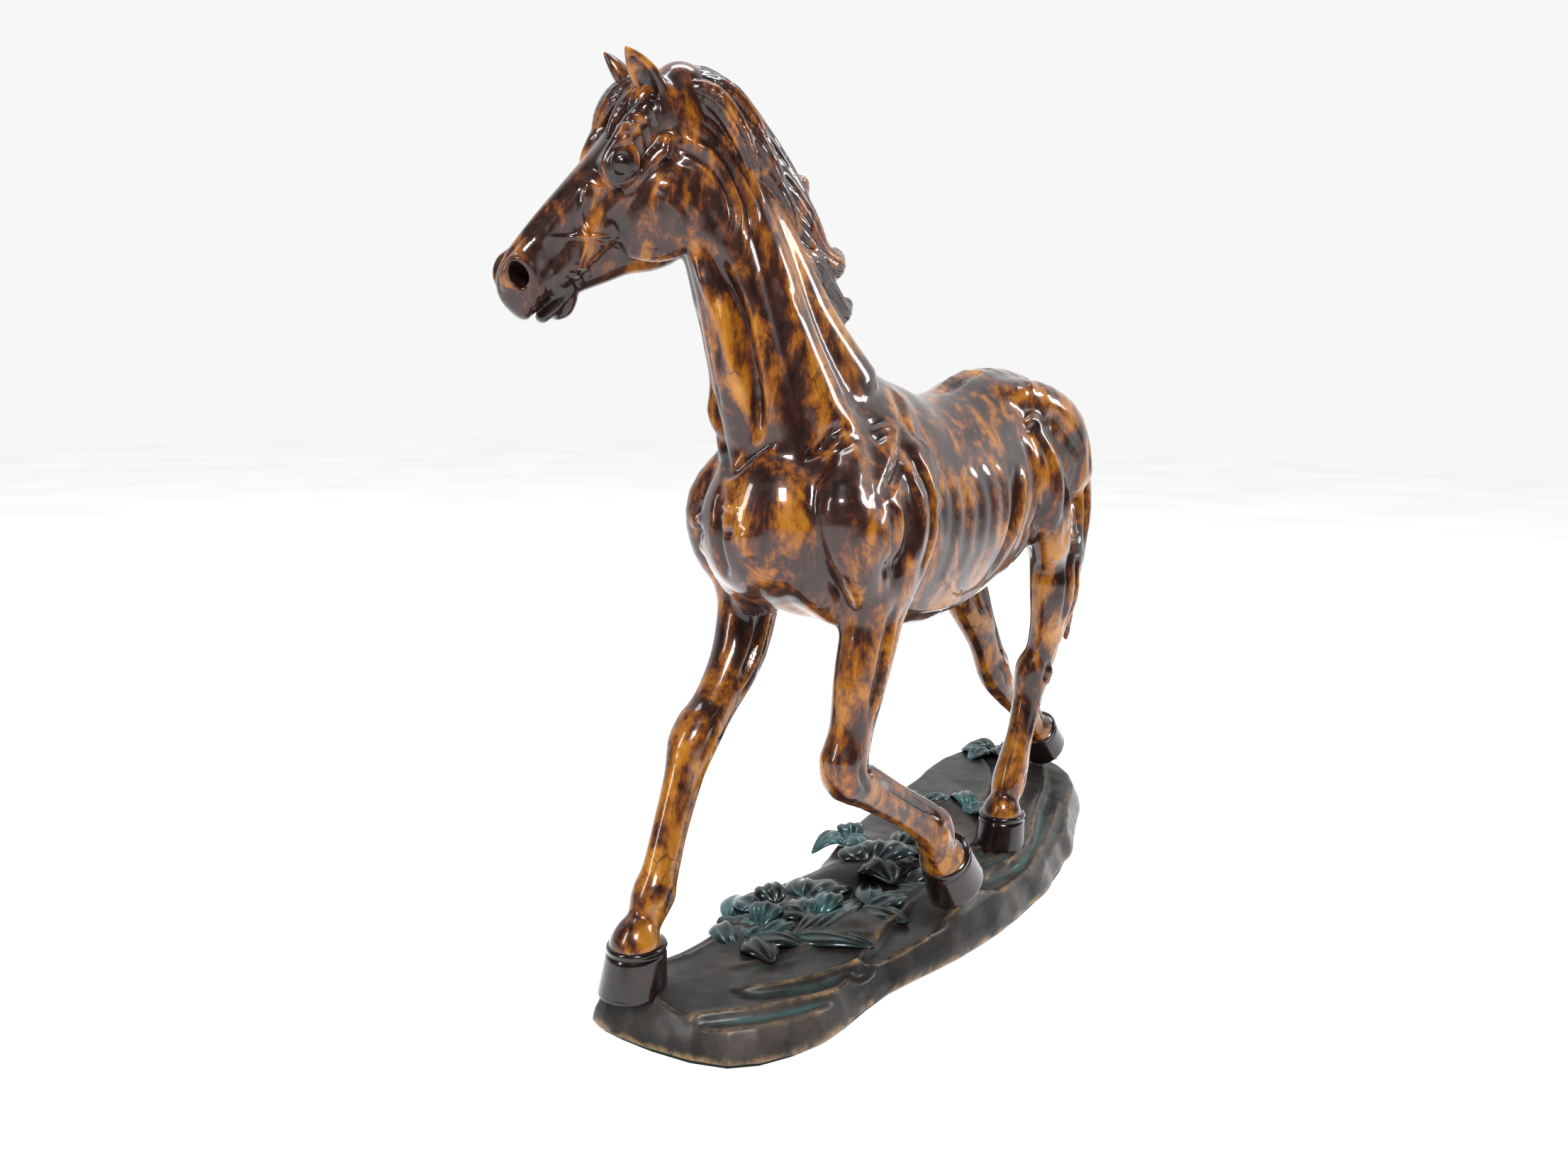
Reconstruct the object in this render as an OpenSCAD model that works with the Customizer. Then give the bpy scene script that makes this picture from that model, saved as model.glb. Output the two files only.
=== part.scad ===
// Trotting horse, a hollow cast bronze on a cast rock base, in millimetres.
// The origin is on the resting face, below the middle of the horse. +Z is up,
// the horse faces -X, and its left side is towards -Y.
// Heights in the station lists are measured from the level of the soles.

/* [Castings] */
// Thickness of the cast wall of the hollow figure
wall = 3; // [2.5:0.5:3.5]
// Radius of a hoof at its sole
hoof_sole_r = 15; // [14:0.5:16]
// Radius of a hoof at its coronet
hoof_top_r = 12.5; // [12:0.5:13.5]
// Height of a hoof, from sole to coronet
hoof_h = 20; // [18:1:21]

/* [Base] */
// Height of the level that the planted hooves stand on
base_h = 18; // [17:1:22]
// Thickness of the felt under the base
felt_t = 1.5; // [1:0.5:2]
// How far the felt stays inside the foot of the base
felt_inset = 3; // [2:1:6]
// Thickness of the wall around and over the hollow of the base
base_wall = 5; // [4:0.5:6]

/* [Fixings] */
// Diameter of the studs that hold the hooves to the base
stud_d = 5; // [4:0.5:6]
// Diameter of the washers under the base
washer_d = 10; // [9:0.5:11]
// Thickness of a washer
washer_t = 1; // [0.8:0.2:1.2]
// Width of a hex nut across its flats
nut_flats = 8; // [7:0.5:9]
// Height of a hex nut
nut_h = 3; // [2.5:0.5:3.5]
// Diameter of the dowels that pin the castings together
dowel_d = 4; // [3:0.5:5]
// Radius of the round tenon on the top of each leg
tenon_r = 8; // [7:0.5:8.5]
// Diameter of the plugs that close the core-pin holes in the belly
plug_d = 7; // [5:1:8]

/* [Hidden] */

$fn = 48;
bronze = "#9c5518";
dark_bronze = "#3a2114";
hoof_black = "#1d1511";
base_black = "#2c2a26";
verdigris = "#35605a";
steel = "#8f9396";
felt_green = "#27402f";

tenon_rise = 12;
tenon_root = 4;
pin_len = 22;
wide = [0, 1, 0];

// ---- Curves and skins -------------------------------------------------------

// A point of the smooth curve through b and c, at t from 0 to 1
function between(a, b, c, d, t) =
    0.5 * (2 * b + (c - a) * t + (2 * a - 5 * b + 4 * c - d) * t * t
           + (3 * b - a - 3 * c + d) * t * t * t);

// The stations of a list, with a smooth curve of n steps between each pair
function smooth(s, n) =
    let (last = len(s) - 1)
    concat(
        [for (i = [0:last - 1], k = [0:n - 1])
            between(s[max(i - 1, 0)], s[i], s[i + 1], s[min(i + 2, last)], k / n)],
        [s[last]]
    );

// The points of a closed outline, with a smooth curve of n steps between each pair
function smooth_ring(p, n) =
    let (m = len(p))
    [for (i = [0:m - 1], k = [0:n - 1])
        between(p[(i + m - 1) % m], p[i], p[(i + 1) % m], p[(i + 2) % m], k / n)];

function unit(v) = v / norm(v);
function place(s) = [s[0], s[1], s[2]];

// A station is [x, y, z, half width, half depth]. Its ring is square to the path.
function ring(s, ahead, across, sides) =
    let (
        side = unit(across - (across * ahead) * ahead),
        front = cross(ahead, side)
    )
    [for (k = [0:sides - 1])
        place(s) + s[3] * cos(360 * k / sides) * side + s[4] * sin(360 * k / sides) * front];

// Stations of a skin that lies t inside another, and stops t short of its ends
function inside(s, t) =
    let (last = len(s) - 1)
    [for (i = [0:last])
        let (
            pull = i == 0 ? unit(place(s[1]) - place(s[0]))
                 : i == last ? unit(place(s[last - 1]) - place(s[last])) : [0, 0, 0],
            at = place(s[i]) + t * pull
        )
        [at[0], at[1], at[2], max(s[i][3] - t, 1), max(s[i][4] - t, 1)]];

// A closed solid through a list of rings that have the same number of points
module loft(rings) {
    sides = len(rings[0]);
    last = len(rings) - 1;
    points = [for (r = rings) each r];
    walls = [for (i = [0:last - 1], k = [0:sides - 1])
        let (n = (k + 1) % sides)
        each [
            [i * sides + k, (i + 1) * sides + n, i * sides + n],
            [i * sides + k, (i + 1) * sides + k, (i + 1) * sides + n]
        ]];
    bottom = [for (k = [1:sides - 2]) [0, k, k + 1]];
    top = [for (k = [1:sides - 2]) [last * sides, last * sides + k + 1, last * sides + k]];
    polyhedron(points = points, faces = concat(walls, bottom, top), convexity = 6);
}

// A solid skin swept along stations. across is the direction of their half width.
module skin(stations, across = wide, sides = 16, steps = 2) {
    s = smooth(stations, steps);
    last = len(s) - 1;
    loft([for (i = [0:last])
        let (ahead = unit(place(s[min(i + 1, last)]) - place(s[max(i - 1, 0)])))
        ring(s[i], ahead, across, sides)]);
}

module mirrored() {
    children();
    mirror([0, 1, 0]) children();
}

module on_base() {
    translate([0, 0, base_h]) children();
}

// ---- Stations of the figure -------------------------------------------------

BARREL = [
    [-136, 0, 200, 17, 20], [-124, 0, 200, 35, 39], [-95, 0, 204, 43, 53],
    [-60, 0, 204, 41, 59], [-20, 0, 197, 42, 58], [25, 0, 204, 43, 56],
    [60, 0, 216, 41, 55], [88, 0, 220, 39, 50], [114, 0, 216, 33, 41],
    [133, 0, 210, 22, 27], [141, 0, 206, 11, 14]
];
SHOULDER = [
    [-66, 16, 250, 8, 12], [-84, 29, 230, 14, 22], [-110, 38, 203, 17, 27],
    [-105, 38, 178, 16, 23], [-98, 36, 160, 12, 18]
];
HAUNCH = [
    [70, 20, 252, 14, 18], [96, 27, 227, 18, 31], [104, 29, 197, 18, 30],
    [101, 32, 168, 15.5, 25]
];
NECK = [
    [-88, 0, 226, 34, 48], [-104, 4, 246, 28, 43], [-118, 8, 274, 21, 35],
    [-129, 13, 304, 18, 29], [-139, 18, 330, 16, 26], [-148, 22, 350, 14, 23]
];
LEFT_FORE = [
    [-95, -34, 163, 13, 18], [-105, -34, 134, 12, 14.5], [-111, -33.5, 110, 10.5, 11.5],
    [-115, -33, 91, 12, 12.5], [-100, -36, 80, 9, 11], [-78, -40, 66, 8, 9.5],
    [-63, -43, 56, 8.5, 10], [-55, -45, 49.5, 10, 10.5], [-50.5, -45, 39.5, 9.5, 9.5],
    [-44, -45, 32, 12, 12]
];
RIGHT_FORE = [
    [-97, 36, 163, 14, 21], [-109, 32, 137, 12.5, 15.5], [-127, 30, 116, 10.5, 12],
    [-144.5, 29, 100, 12, 12.5], [-153, 28, 84, 8.5, 10.5], [-163, 26.5, 64, 8, 9.5],
    [-171, 25, 47, 8.5, 10], [-176, 24.5, 38, 10, 11], [-182, 24, 28, 8, 9],
    [-187, 23.5, 23, 11, 11.5], [-188, 23.5, 20, 12, 12]
];
LEFT_HIND = [
    [102, -33, 170, 15, 26], [97, -33, 150, 13.5, 22], [97, -31, 128, 10.5, 16],
    [95, -28, 110, 10, 13], [91, -25, 99, 10, 14], [86, -24.5, 82, 8.5, 10.5],
    [78, -24.5, 62, 8, 9.8], [68, -24, 37, 10, 11.3], [63.5, -24, 28, 8, 9],
    [61, -24, 23, 11, 11.5], [60.5, -24, 20, 12, 12]
];
RIGHT_HIND = [
    [101, 32, 170, 15, 25], [103, 32, 150, 13, 21], [114, 28, 126, 11.5, 16],
    [127, 26, 104, 10, 14], [139, 24, 82, 9.5, 13], [155, 23, 66, 8, 10],
    [173, 22.5, 54, 8, 9.5], [187, 22, 45, 9.5, 10.5], [193.5, 21.5, 37, 9, 9.5],
    [201, 21, 30.5, 12, 12]
];

// A hoof is [x, y, z of the coronet, tilt of the toe]
LEFT_FORE_HOOF = [-44, -45, 32, -42];
RIGHT_FORE_HOOF = [-188, 23.5, 20, 0];
LEFT_HIND_HOOF = [60.5, -24, 20, 0];
RIGHT_HIND_HOOF = [201, 21, 30.5, -48];
HOOVES = [LEFT_FORE_HOOF, RIGHT_FORE_HOOF, LEFT_HIND_HOOF, RIGHT_HIND_HOOF];
LEGS = [LEFT_FORE, RIGHT_FORE, LEFT_HIND, RIGHT_HIND];

// The head is built in its own frame: +X towards the muzzle, +Y its left, +Z the brow
POLL = [-170, 31, 373];
HEAD_TURN = [-12, 47, 148];
HEAD = [
    [-4, 0, -26, 13, 20], [8, 0, -27, 17, 26], [20, 0, -28, 18.5, 28], [32, 0, -28, 18, 28],
    [50, 0, -24, 14.5, 23], [64, 0, -21, 11.5, 19.5], [77, 0, -20, 10, 17],
    [89, 0, -21, 10, 15.5], [97, 0, -23, 9, 11], [101, 0, -25, 6, 6]
];
EAR = [
    [0, 0, 0, 5, 4], [-1, 0, 7, 6.5, 3.8], [-2, 0, 16, 5, 3], [-2, 0, 24, 1, 1]
];

module head_frame() {
    on_base() translate(POLL) rotate(HEAD_TURN) children();
}

// ---- Base -------------------------------------------------------------------

// How far the base reaches from the origin, to its front, rear, near and far sides
base_front = 202;
base_rear = 246;
base_near = 61;
base_far = 94;

// A blunt nose carries the right fore hoof, the near side is one slow curve with a slight
// waist, the rear is broad, and the far side has two shallow bays
OUTLINE = smooth_ring([
    [-base_front, 20], [-190, -30], [-150, -50], [-95, -50], [-45, -58], [15, -base_near],
    [90, -52], [160, -30], [220, -5], [base_rear, 45], [230, 85], [190, base_far],
    [110, 80], [30, 65], [-35, 45], [-80, 55], [-125, 40], [-190, 45]
], 3);

// An outline moved inwards by d
function inset(p, d) =
    let (m = len(p))
    [for (i = [0:m - 1])
        let (along = unit(p[(i + 1) % m] - p[(i + m - 1) % m]))
        p[i] + d * [-along[1], along[0]]];

// The hollow under the base, with a plain shape that stays inside the outline
HOLLOW = smooth_ring([
    [-186, 14], [-179, -18], [-152, -33], [-90, -37], [0, -46], [75, -39], [160, -14],
    [218, 12], [231, 48], [222, 76], [196, 80], [120, 68], [40, 52], [-40, 28],
    [-110, 26], [-178, 30]
], 2);

// A tier is [inset, lowest level, highest level]: the ledges that step up round the rock
BASE_TIERS = [
    [0, felt_t, 8], [3, 7, 11.5], [6, 10.5, base_h - 3], [9, base_h - 4, base_h]
];

// A low swelling of rock that carries a raised hoof: [x, y, length, width, height]
RISES = [[-28, -36, 50, 36, 13], [210, 26, 50, 56, 6]];

module rise(r) {
    translate([r[0], r[1], base_h - 2])
        loft([for (t = [0, 30, 55, 75])
            [for (k = [0:15])
                [r[2] * cos(t) / 2 * cos(22.5 * k), r[3] * cos(t) / 2 * sin(22.5 * k),
                 (r[4] + 2) * sin(t) / sin(75)]]]);
}

module stud_holes() {
    for (h = HOOVES)
        translate([sole_x(h), h[1], 0])
            cylinder(d = stud_d, h = base_h + h[2]);
}

// Round pockets that let the washers lie flat under the top
module washer_pockets() {
    for (h = HOOVES)
        translate([sole_x(h), h[1], felt_t - 1])
            cylinder(d = washer_d + 1, h = base_h - base_wall - felt_t + 1);
}

module base_casting() {
    color(base_black)
        difference() {
            union() {
                for (t = BASE_TIERS)
                    translate([0, 0, t[1]])
                        linear_extrude(t[2] - t[1])
                            polygon(inset(OUTLINE, t[0]));
                for (r = RISES) rise(r);
            }
            translate([0, 0, felt_t - 1])
                linear_extrude(base_h - base_wall - felt_t + 1)
                    polygon(HOLLOW);
            washer_pockets();
            stud_holes();
            for (h = HOOVES) if (h[3] != 0) hoof_solid(h);
        }
}

module felt_pad() {
    color(felt_green)
        linear_extrude(felt_t)
            polygon(inset(OUTLINE, felt_inset));
}

// A long leaf that rises, bends over and comes to a point
module leaf(length, width, lift) {
    skin(
        [
            [0, 0, 0, width * 0.3, 1.5], [length * 0.35, 0, lift * 0.75, width * 0.5, 2],
            [length * 0.7, 0, lift, width * 0.4, 1.8], [length, 0, lift * 0.55, 0.6, 0.6]
        ],
        sides = 8
    );
}

// A clump of leaves around a low core, standing on the base at level z
module clump(x, y, z, length, width, count, lift) {
    translate([x, y, base_h + z - 1]) {
        skin([[0, 0, 0, length * 0.42, width * 0.42], [0, 0, 5, length * 0.34, width * 0.34],
              [0, 0, 8, length * 0.16, width * 0.16]], sides = 12);
        for (i = [0:count - 1])
            let (turn = 360 * i / count + 17 * sin(131 * i), far = 1 + 0.25 * sin(97 * i))
            rotate([0, 0, turn])
                leaf(far * (length * pow(cos(turn), 2) + width * pow(sin(turn), 2)) * 0.5,
                     9 + 2 * sin(53 * i), lift * far);
    }
}

module foliage_front() {
    color(verdigris) {
        clump(-102, 16, 0, 48, 36, 9, 10);
        clump(-84, -22, 0, 44, 30, 8, 7);
    }
}

module foliage_middle() {
    color(verdigris) {
        clump(-22, 2, 0, 52, 34, 9, 9);
        clump(10, 36, 0, 46, 30, 8, 9);
    }
}

module foliage_rear() {
    color(verdigris) {
        clump(96, 32, 0, 44, 44, 10, 10);
        clump(222, 54, 2, 36, 30, 7, 9);
    }
}

// ---- Hooves and legs --------------------------------------------------------

// Where the middle of a tilted hoof meets its sole
function sole_x(h) = h[0] - sin(h[3]) * hoof_h;

module hoof_solid(h) {
    translate([h[0], h[1], base_h + h[2]])
        rotate([0, h[3], 0])
            translate([0, 0, -hoof_h])
                cylinder(r1 = hoof_sole_r, r2 = hoof_top_r, h = hoof_h);
}

module hoof(h) {
    color(hoof_black)
        difference() {
            hoof_solid(h);
            translate([sole_x(h), h[1], base_h + h[2] - 1.5 * hoof_h])
                cylinder(d = stud_d, h = hoof_h);
        }
}

module tenon(leg, r, rise, root) {
    translate([leg[0][0], leg[0][1], leg[0][2] - root])
        cylinder(r = r, h = rise + root);
}

module leg_pin(leg) {
    translate([leg[0][0], leg[0][1], leg[0][2] + tenon_rise / 2])
        rotate([90, 0, 0])
            cylinder(d = dowel_d, h = pin_len, center = true);
}

// The hollow of a leg stops above its fetlock, where the casting is solid
function core(leg) = inside([for (i = [0:len(leg) - 4]) leg[i]], wall);

module leg(stations) {
    on_base()
        difference() {
            union() {
                skin(stations);
                tenon(stations, tenon_r, tenon_rise, tenon_root);
            }
            skin(core(stations), sides = 12);
            tenon(stations, tenon_r - wall, tenon_rise + 1, tenon_root);
            leg_pin(stations);
        }
}

module left_foreleg() { color(bronze) leg(LEFT_FORE); }
module right_foreleg() { color(bronze) leg(RIGHT_FORE); }
module left_hind_leg() { color(bronze) leg(LEFT_HIND); }
module right_hind_leg() { color(bronze) leg(RIGHT_HIND); }
module left_fore_hoof() { hoof(LEFT_FORE_HOOF); }
module right_fore_hoof() { hoof(RIGHT_FORE_HOOF); }
module left_hind_hoof() { hoof(LEFT_HIND_HOOF); }
module right_hind_hoof() { hoof(RIGHT_HIND_HOOF); }

// ---- Torso, neck and head ---------------------------------------------------

module body_form(t) {
    skin(t > 0 ? inside(BARREL, t) : BARREL, sides = 20);
    mirrored() {
        skin(t > 0 ? inside(SHOULDER, t) : SHOULDER);
        skin(t > 0 ? inside(HAUNCH, t) : HAUNCH);
    }
}

module plug_holes() {
    for (p = [[-25, 137], [30, 144]])
        translate([p[0], 0, p[1]])
            cylinder(d = plug_d, h = wall + 1);
}

module torso() {
    color(bronze)
        on_base()
            difference() {
                union() body_form(0);
                union() body_form(wall);
                skin(NECK, sides = 20);
                for (s = LEGS) {
                    skin(s);
                    tenon(s, tenon_r, tenon_rise, tenon_root);
                }
                plug_holes();
                tail_pin();
            }
}

NECK_PINS = [[-92, 20], [-92, -20]];

module neck_pins() {
    for (p = NECK_PINS)
        translate([p[0], p[1], 244])
            rotate([0, -35, 0])
                cylinder(d = dowel_d, h = pin_len, center = true);
}

module neck() {
    color(bronze)
        on_base()
            difference() {
                skin(NECK, sides = 20);
                skin(inside(NECK, wall), sides = 16);
                neck_pins();
            }
}

module head_pins() {
    for (side = [-1, 1])
        translate([6, side * 7, -28])
            rotate([0, 60, 0])
                cylinder(d = dowel_d, h = pin_len, center = true);
}

module ear(side) {
    translate([3, side * 8.5, -4])
        rotate([side * -10, 14, 0])
            skin(EAR, sides = 10);
}

module head() {
    color(bronze)
        difference() {
            head_frame()
                difference() {
                    union() {
                        skin(HEAD, sides = 20);
                        for (side = [-1, 1]) ear(side);
                    }
                    skin(inside(HEAD, wall), sides = 16);
                    head_pins();
                }
            on_base() skin(NECK, sides = 20);
        }
}

// ---- Hair -------------------------------------------------------------------

// A lock is a list of stations that starts at the root and ends in a point
MANE_LOCKS = [
    [[-163, 26, 373, 7, 6], [-150, 22, 374, 9, 8], [-132, 17, 364, 9, 8], [-117, 12, 350, 2, 2]],
    [[-148, 20, 365, 8, 7], [-133, 15, 360, 10, 9], [-117, 12, 346, 9, 8], [-106, 10, 331, 2, 2]],
    [[-137, 17, 350, 8, 7], [-121, 12, 344, 10, 9], [-105, 9, 332, 9, 8], [-94, 10, 316, 2, 2]],
    [[-127, 14, 332, 8, 7], [-110, 10, 327, 10, 9], [-92, 8, 316, 10, 9], [-80, 10, 304, 2, 2]],
    [[-116, 10, 314, 8, 7], [-99, 8, 310, 10, 9], [-82, 8, 299, 9, 8], [-70, 9, 289, 2, 2]],
    [[-105, 7, 296, 8, 7], [-90, 6, 292, 9, 8], [-75, 7, 281, 7, 7], [-64, 8, 270, 2, 2]]
];
FORELOCK_LOCKS = [
    [[2, -1, 1, 6, 4], [16, 3, 4, 6, 3.5], [30, 5, 3, 2, 1.5]],
    [[2, 3, 1, 5, 4], [12, 8, 2, 5, 3.5], [24, 12, -2, 2, 1.5]]
];
TAIL_LOCKS = [
    [[134, 0, 236, 9, 9], [148, -1, 235, 11, 11], [159, -3, 212, 12, 11],
     [163, -6, 174, 12, 10], [164, -9, 138, 9, 8], [163, -13, 106, 2, 2]],
    [[144, 3, 226, 7, 7], [162, 3, 204, 9, 9], [171, 2, 166, 9, 8],
     [175, 0, 130, 6, 6], [178, -2, 114, 2, 2]]
];

module locks(list, sides) {
    for (s = list) skin(s, sides = sides, steps = 3);
}

module mane() {
    color(dark_bronze)
        on_base()
            difference() {
                locks(MANE_LOCKS, 10);
                skin(NECK, sides = 20);
            }
}

module forelock() {
    color(dark_bronze)
        head_frame()
            difference() {
                locks(FORELOCK_LOCKS, 10);
                skin(HEAD, sides = 20);
            }
}

module tail_pin() {
    translate([142, -1, 235])
        rotate([0, 90, 0])
            cylinder(d = dowel_d, h = 16, center = true);
}

module tail() {
    color(dark_bronze)
        on_base()
            difference() {
                locks(TAIL_LOCKS, 12);
                skin(BARREL, sides = 20);
                tail_pin();
            }
}

// ---- Fixings ----------------------------------------------------------------

nut_z = base_h - base_wall - washer_t - nut_h;

module mounting_studs() {
    color(steel)
        for (h = HOOVES)
            translate([sole_x(h), h[1], nut_z - 1])
                cylinder(d = stud_d, h = base_h + h[2] - hoof_h / 2 - nut_z);
}

module stud_washers() {
    color(steel)
        for (h = HOOVES)
            translate([sole_x(h), h[1], base_h - base_wall - washer_t])
                difference() {
                    cylinder(d = washer_d, h = washer_t);
                    translate([0, 0, -1]) cylinder(d = stud_d, h = washer_t + 2);
                }
}

module stud_nuts() {
    color(steel)
        for (h = HOOVES)
            translate([sole_x(h), h[1], nut_z])
                difference() {
                    cylinder(d = nut_flats / cos(30), h = nut_h, $fn = 6);
                    translate([0, 0, -1]) cylinder(d = stud_d, h = nut_h + 2);
                }
}

module leg_dowels() {
    color(steel) on_base() for (s = LEGS) leg_pin(s);
}

module neck_dowels() {
    color(steel) on_base() neck_pins();
}

module head_dowels() {
    color(steel) head_frame() head_pins();
}

module tail_dowel() {
    color(steel) on_base() tail_pin();
}

module core_plugs() {
    color(bronze) on_base() plug_holes();
}

felt_pad();
base_casting();
foliage_front();
foliage_middle();
foliage_rear();
torso();
neck();
head();
mane();
forelock();
tail();
left_foreleg();
right_foreleg();
left_hind_leg();
right_hind_leg();
left_fore_hoof();
right_fore_hoof();
left_hind_hoof();
right_hind_hoof();
mounting_studs();
stud_washers();
stud_nuts();
leg_dowels();
neck_dowels();
head_dowels();
tail_dowel();
core_plugs();
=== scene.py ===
"""Trotting horse statuette: sculpted bronze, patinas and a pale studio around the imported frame.

All sculpting is done in millimetres on signed distance grids, negative inside. Figure heights
are measured from the level of the soles. The horse faces -X and its left side is towards -Y.
"""
import math

import bpy
import numpy as np
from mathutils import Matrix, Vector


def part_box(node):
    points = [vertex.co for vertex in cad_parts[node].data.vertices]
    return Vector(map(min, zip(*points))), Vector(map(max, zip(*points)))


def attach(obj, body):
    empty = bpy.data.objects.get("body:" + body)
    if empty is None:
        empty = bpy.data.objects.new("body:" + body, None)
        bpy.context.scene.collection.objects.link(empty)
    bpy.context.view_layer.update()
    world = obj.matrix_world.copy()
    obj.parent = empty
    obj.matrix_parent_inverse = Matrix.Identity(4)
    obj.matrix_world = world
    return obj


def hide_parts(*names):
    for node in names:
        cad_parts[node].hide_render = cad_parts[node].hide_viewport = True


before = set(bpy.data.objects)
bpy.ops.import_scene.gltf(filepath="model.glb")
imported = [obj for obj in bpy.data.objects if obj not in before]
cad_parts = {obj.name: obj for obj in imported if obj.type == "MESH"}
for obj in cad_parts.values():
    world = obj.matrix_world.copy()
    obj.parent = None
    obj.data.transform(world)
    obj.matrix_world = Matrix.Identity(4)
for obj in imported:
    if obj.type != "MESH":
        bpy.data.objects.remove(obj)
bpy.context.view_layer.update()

import openvdb
from mathutils import Matrix

MM = 1000.0
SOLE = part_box("right_fore_hoof")[0][2] * MM
BODY_STEP = 1.3
HEAD_STEP = 0.6
HAIR_STEP = 0.8
BASE_STEP = 1.35
WIDE = (0.0, 1.0, 0.0)


# ---- Curves --------------------------------------------------------------------------------

def smooth(stations, steps):
    """A Catmull-Rom curve through rows of numbers, with steps rows between each pair."""
    s = np.asarray(stations, float)
    last = len(s) - 1
    t = (np.arange(steps) / steps)[:, None]
    rows = []
    for i in range(last):
        a, b, c, d = s[max(i - 1, 0)], s[i], s[i + 1], s[min(i + 2, last)]
        rows.append(0.5 * (2 * b + (c - a) * t + (2 * a - 5 * b + 4 * c - d) * t ** 2
                           + (3 * b - a - 3 * c + d) * t ** 3))
    return np.vstack(rows + [s[last:]])


def unit(v):
    return v / np.maximum(np.linalg.norm(v, axis=-1, keepdims=True), 1e-9)


def frames(points, across):
    """Tangent, side and front directions along a path."""
    ahead = unit(np.gradient(points, axis=0))
    side = unit(across - (ahead @ np.asarray(across))[:, None] * ahead)
    return ahead, side, np.cross(ahead, side)


def on_skin(stations, marks, across=WIDE):
    """Stations of a muscle that lies on another form.

    A mark is (t, angle, depth, half width, half depth): t counts the form's stations, the angle
    is in degrees from its side towards its front, and depth is 1 on its skin and 0 on its axis.
    """
    fine = smooth(stations, 20)
    _, side, front = frames(fine[:, :3], across)
    rows = []
    for t, angle, depth, half_w, half_d in marks:
        i = min(int(round(t * 20)), len(fine) - 1)
        c, s = math.cos(math.radians(angle)), math.sin(math.radians(angle))
        spot = fine[i, :3] + depth * (fine[i, 3] * c * side[i] + fine[i, 4] * s * front[i])
        rows.append([*spot, half_w, half_d])
    return rows


def flipped(stations, side=-1):
    """The same stations on the other side of the horse, or unchanged where side is 1."""
    return [[x, side * y, *rest] for x, y, *rest in stations]


# ---- Distance fields -----------------------------------------------------------------------

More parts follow.
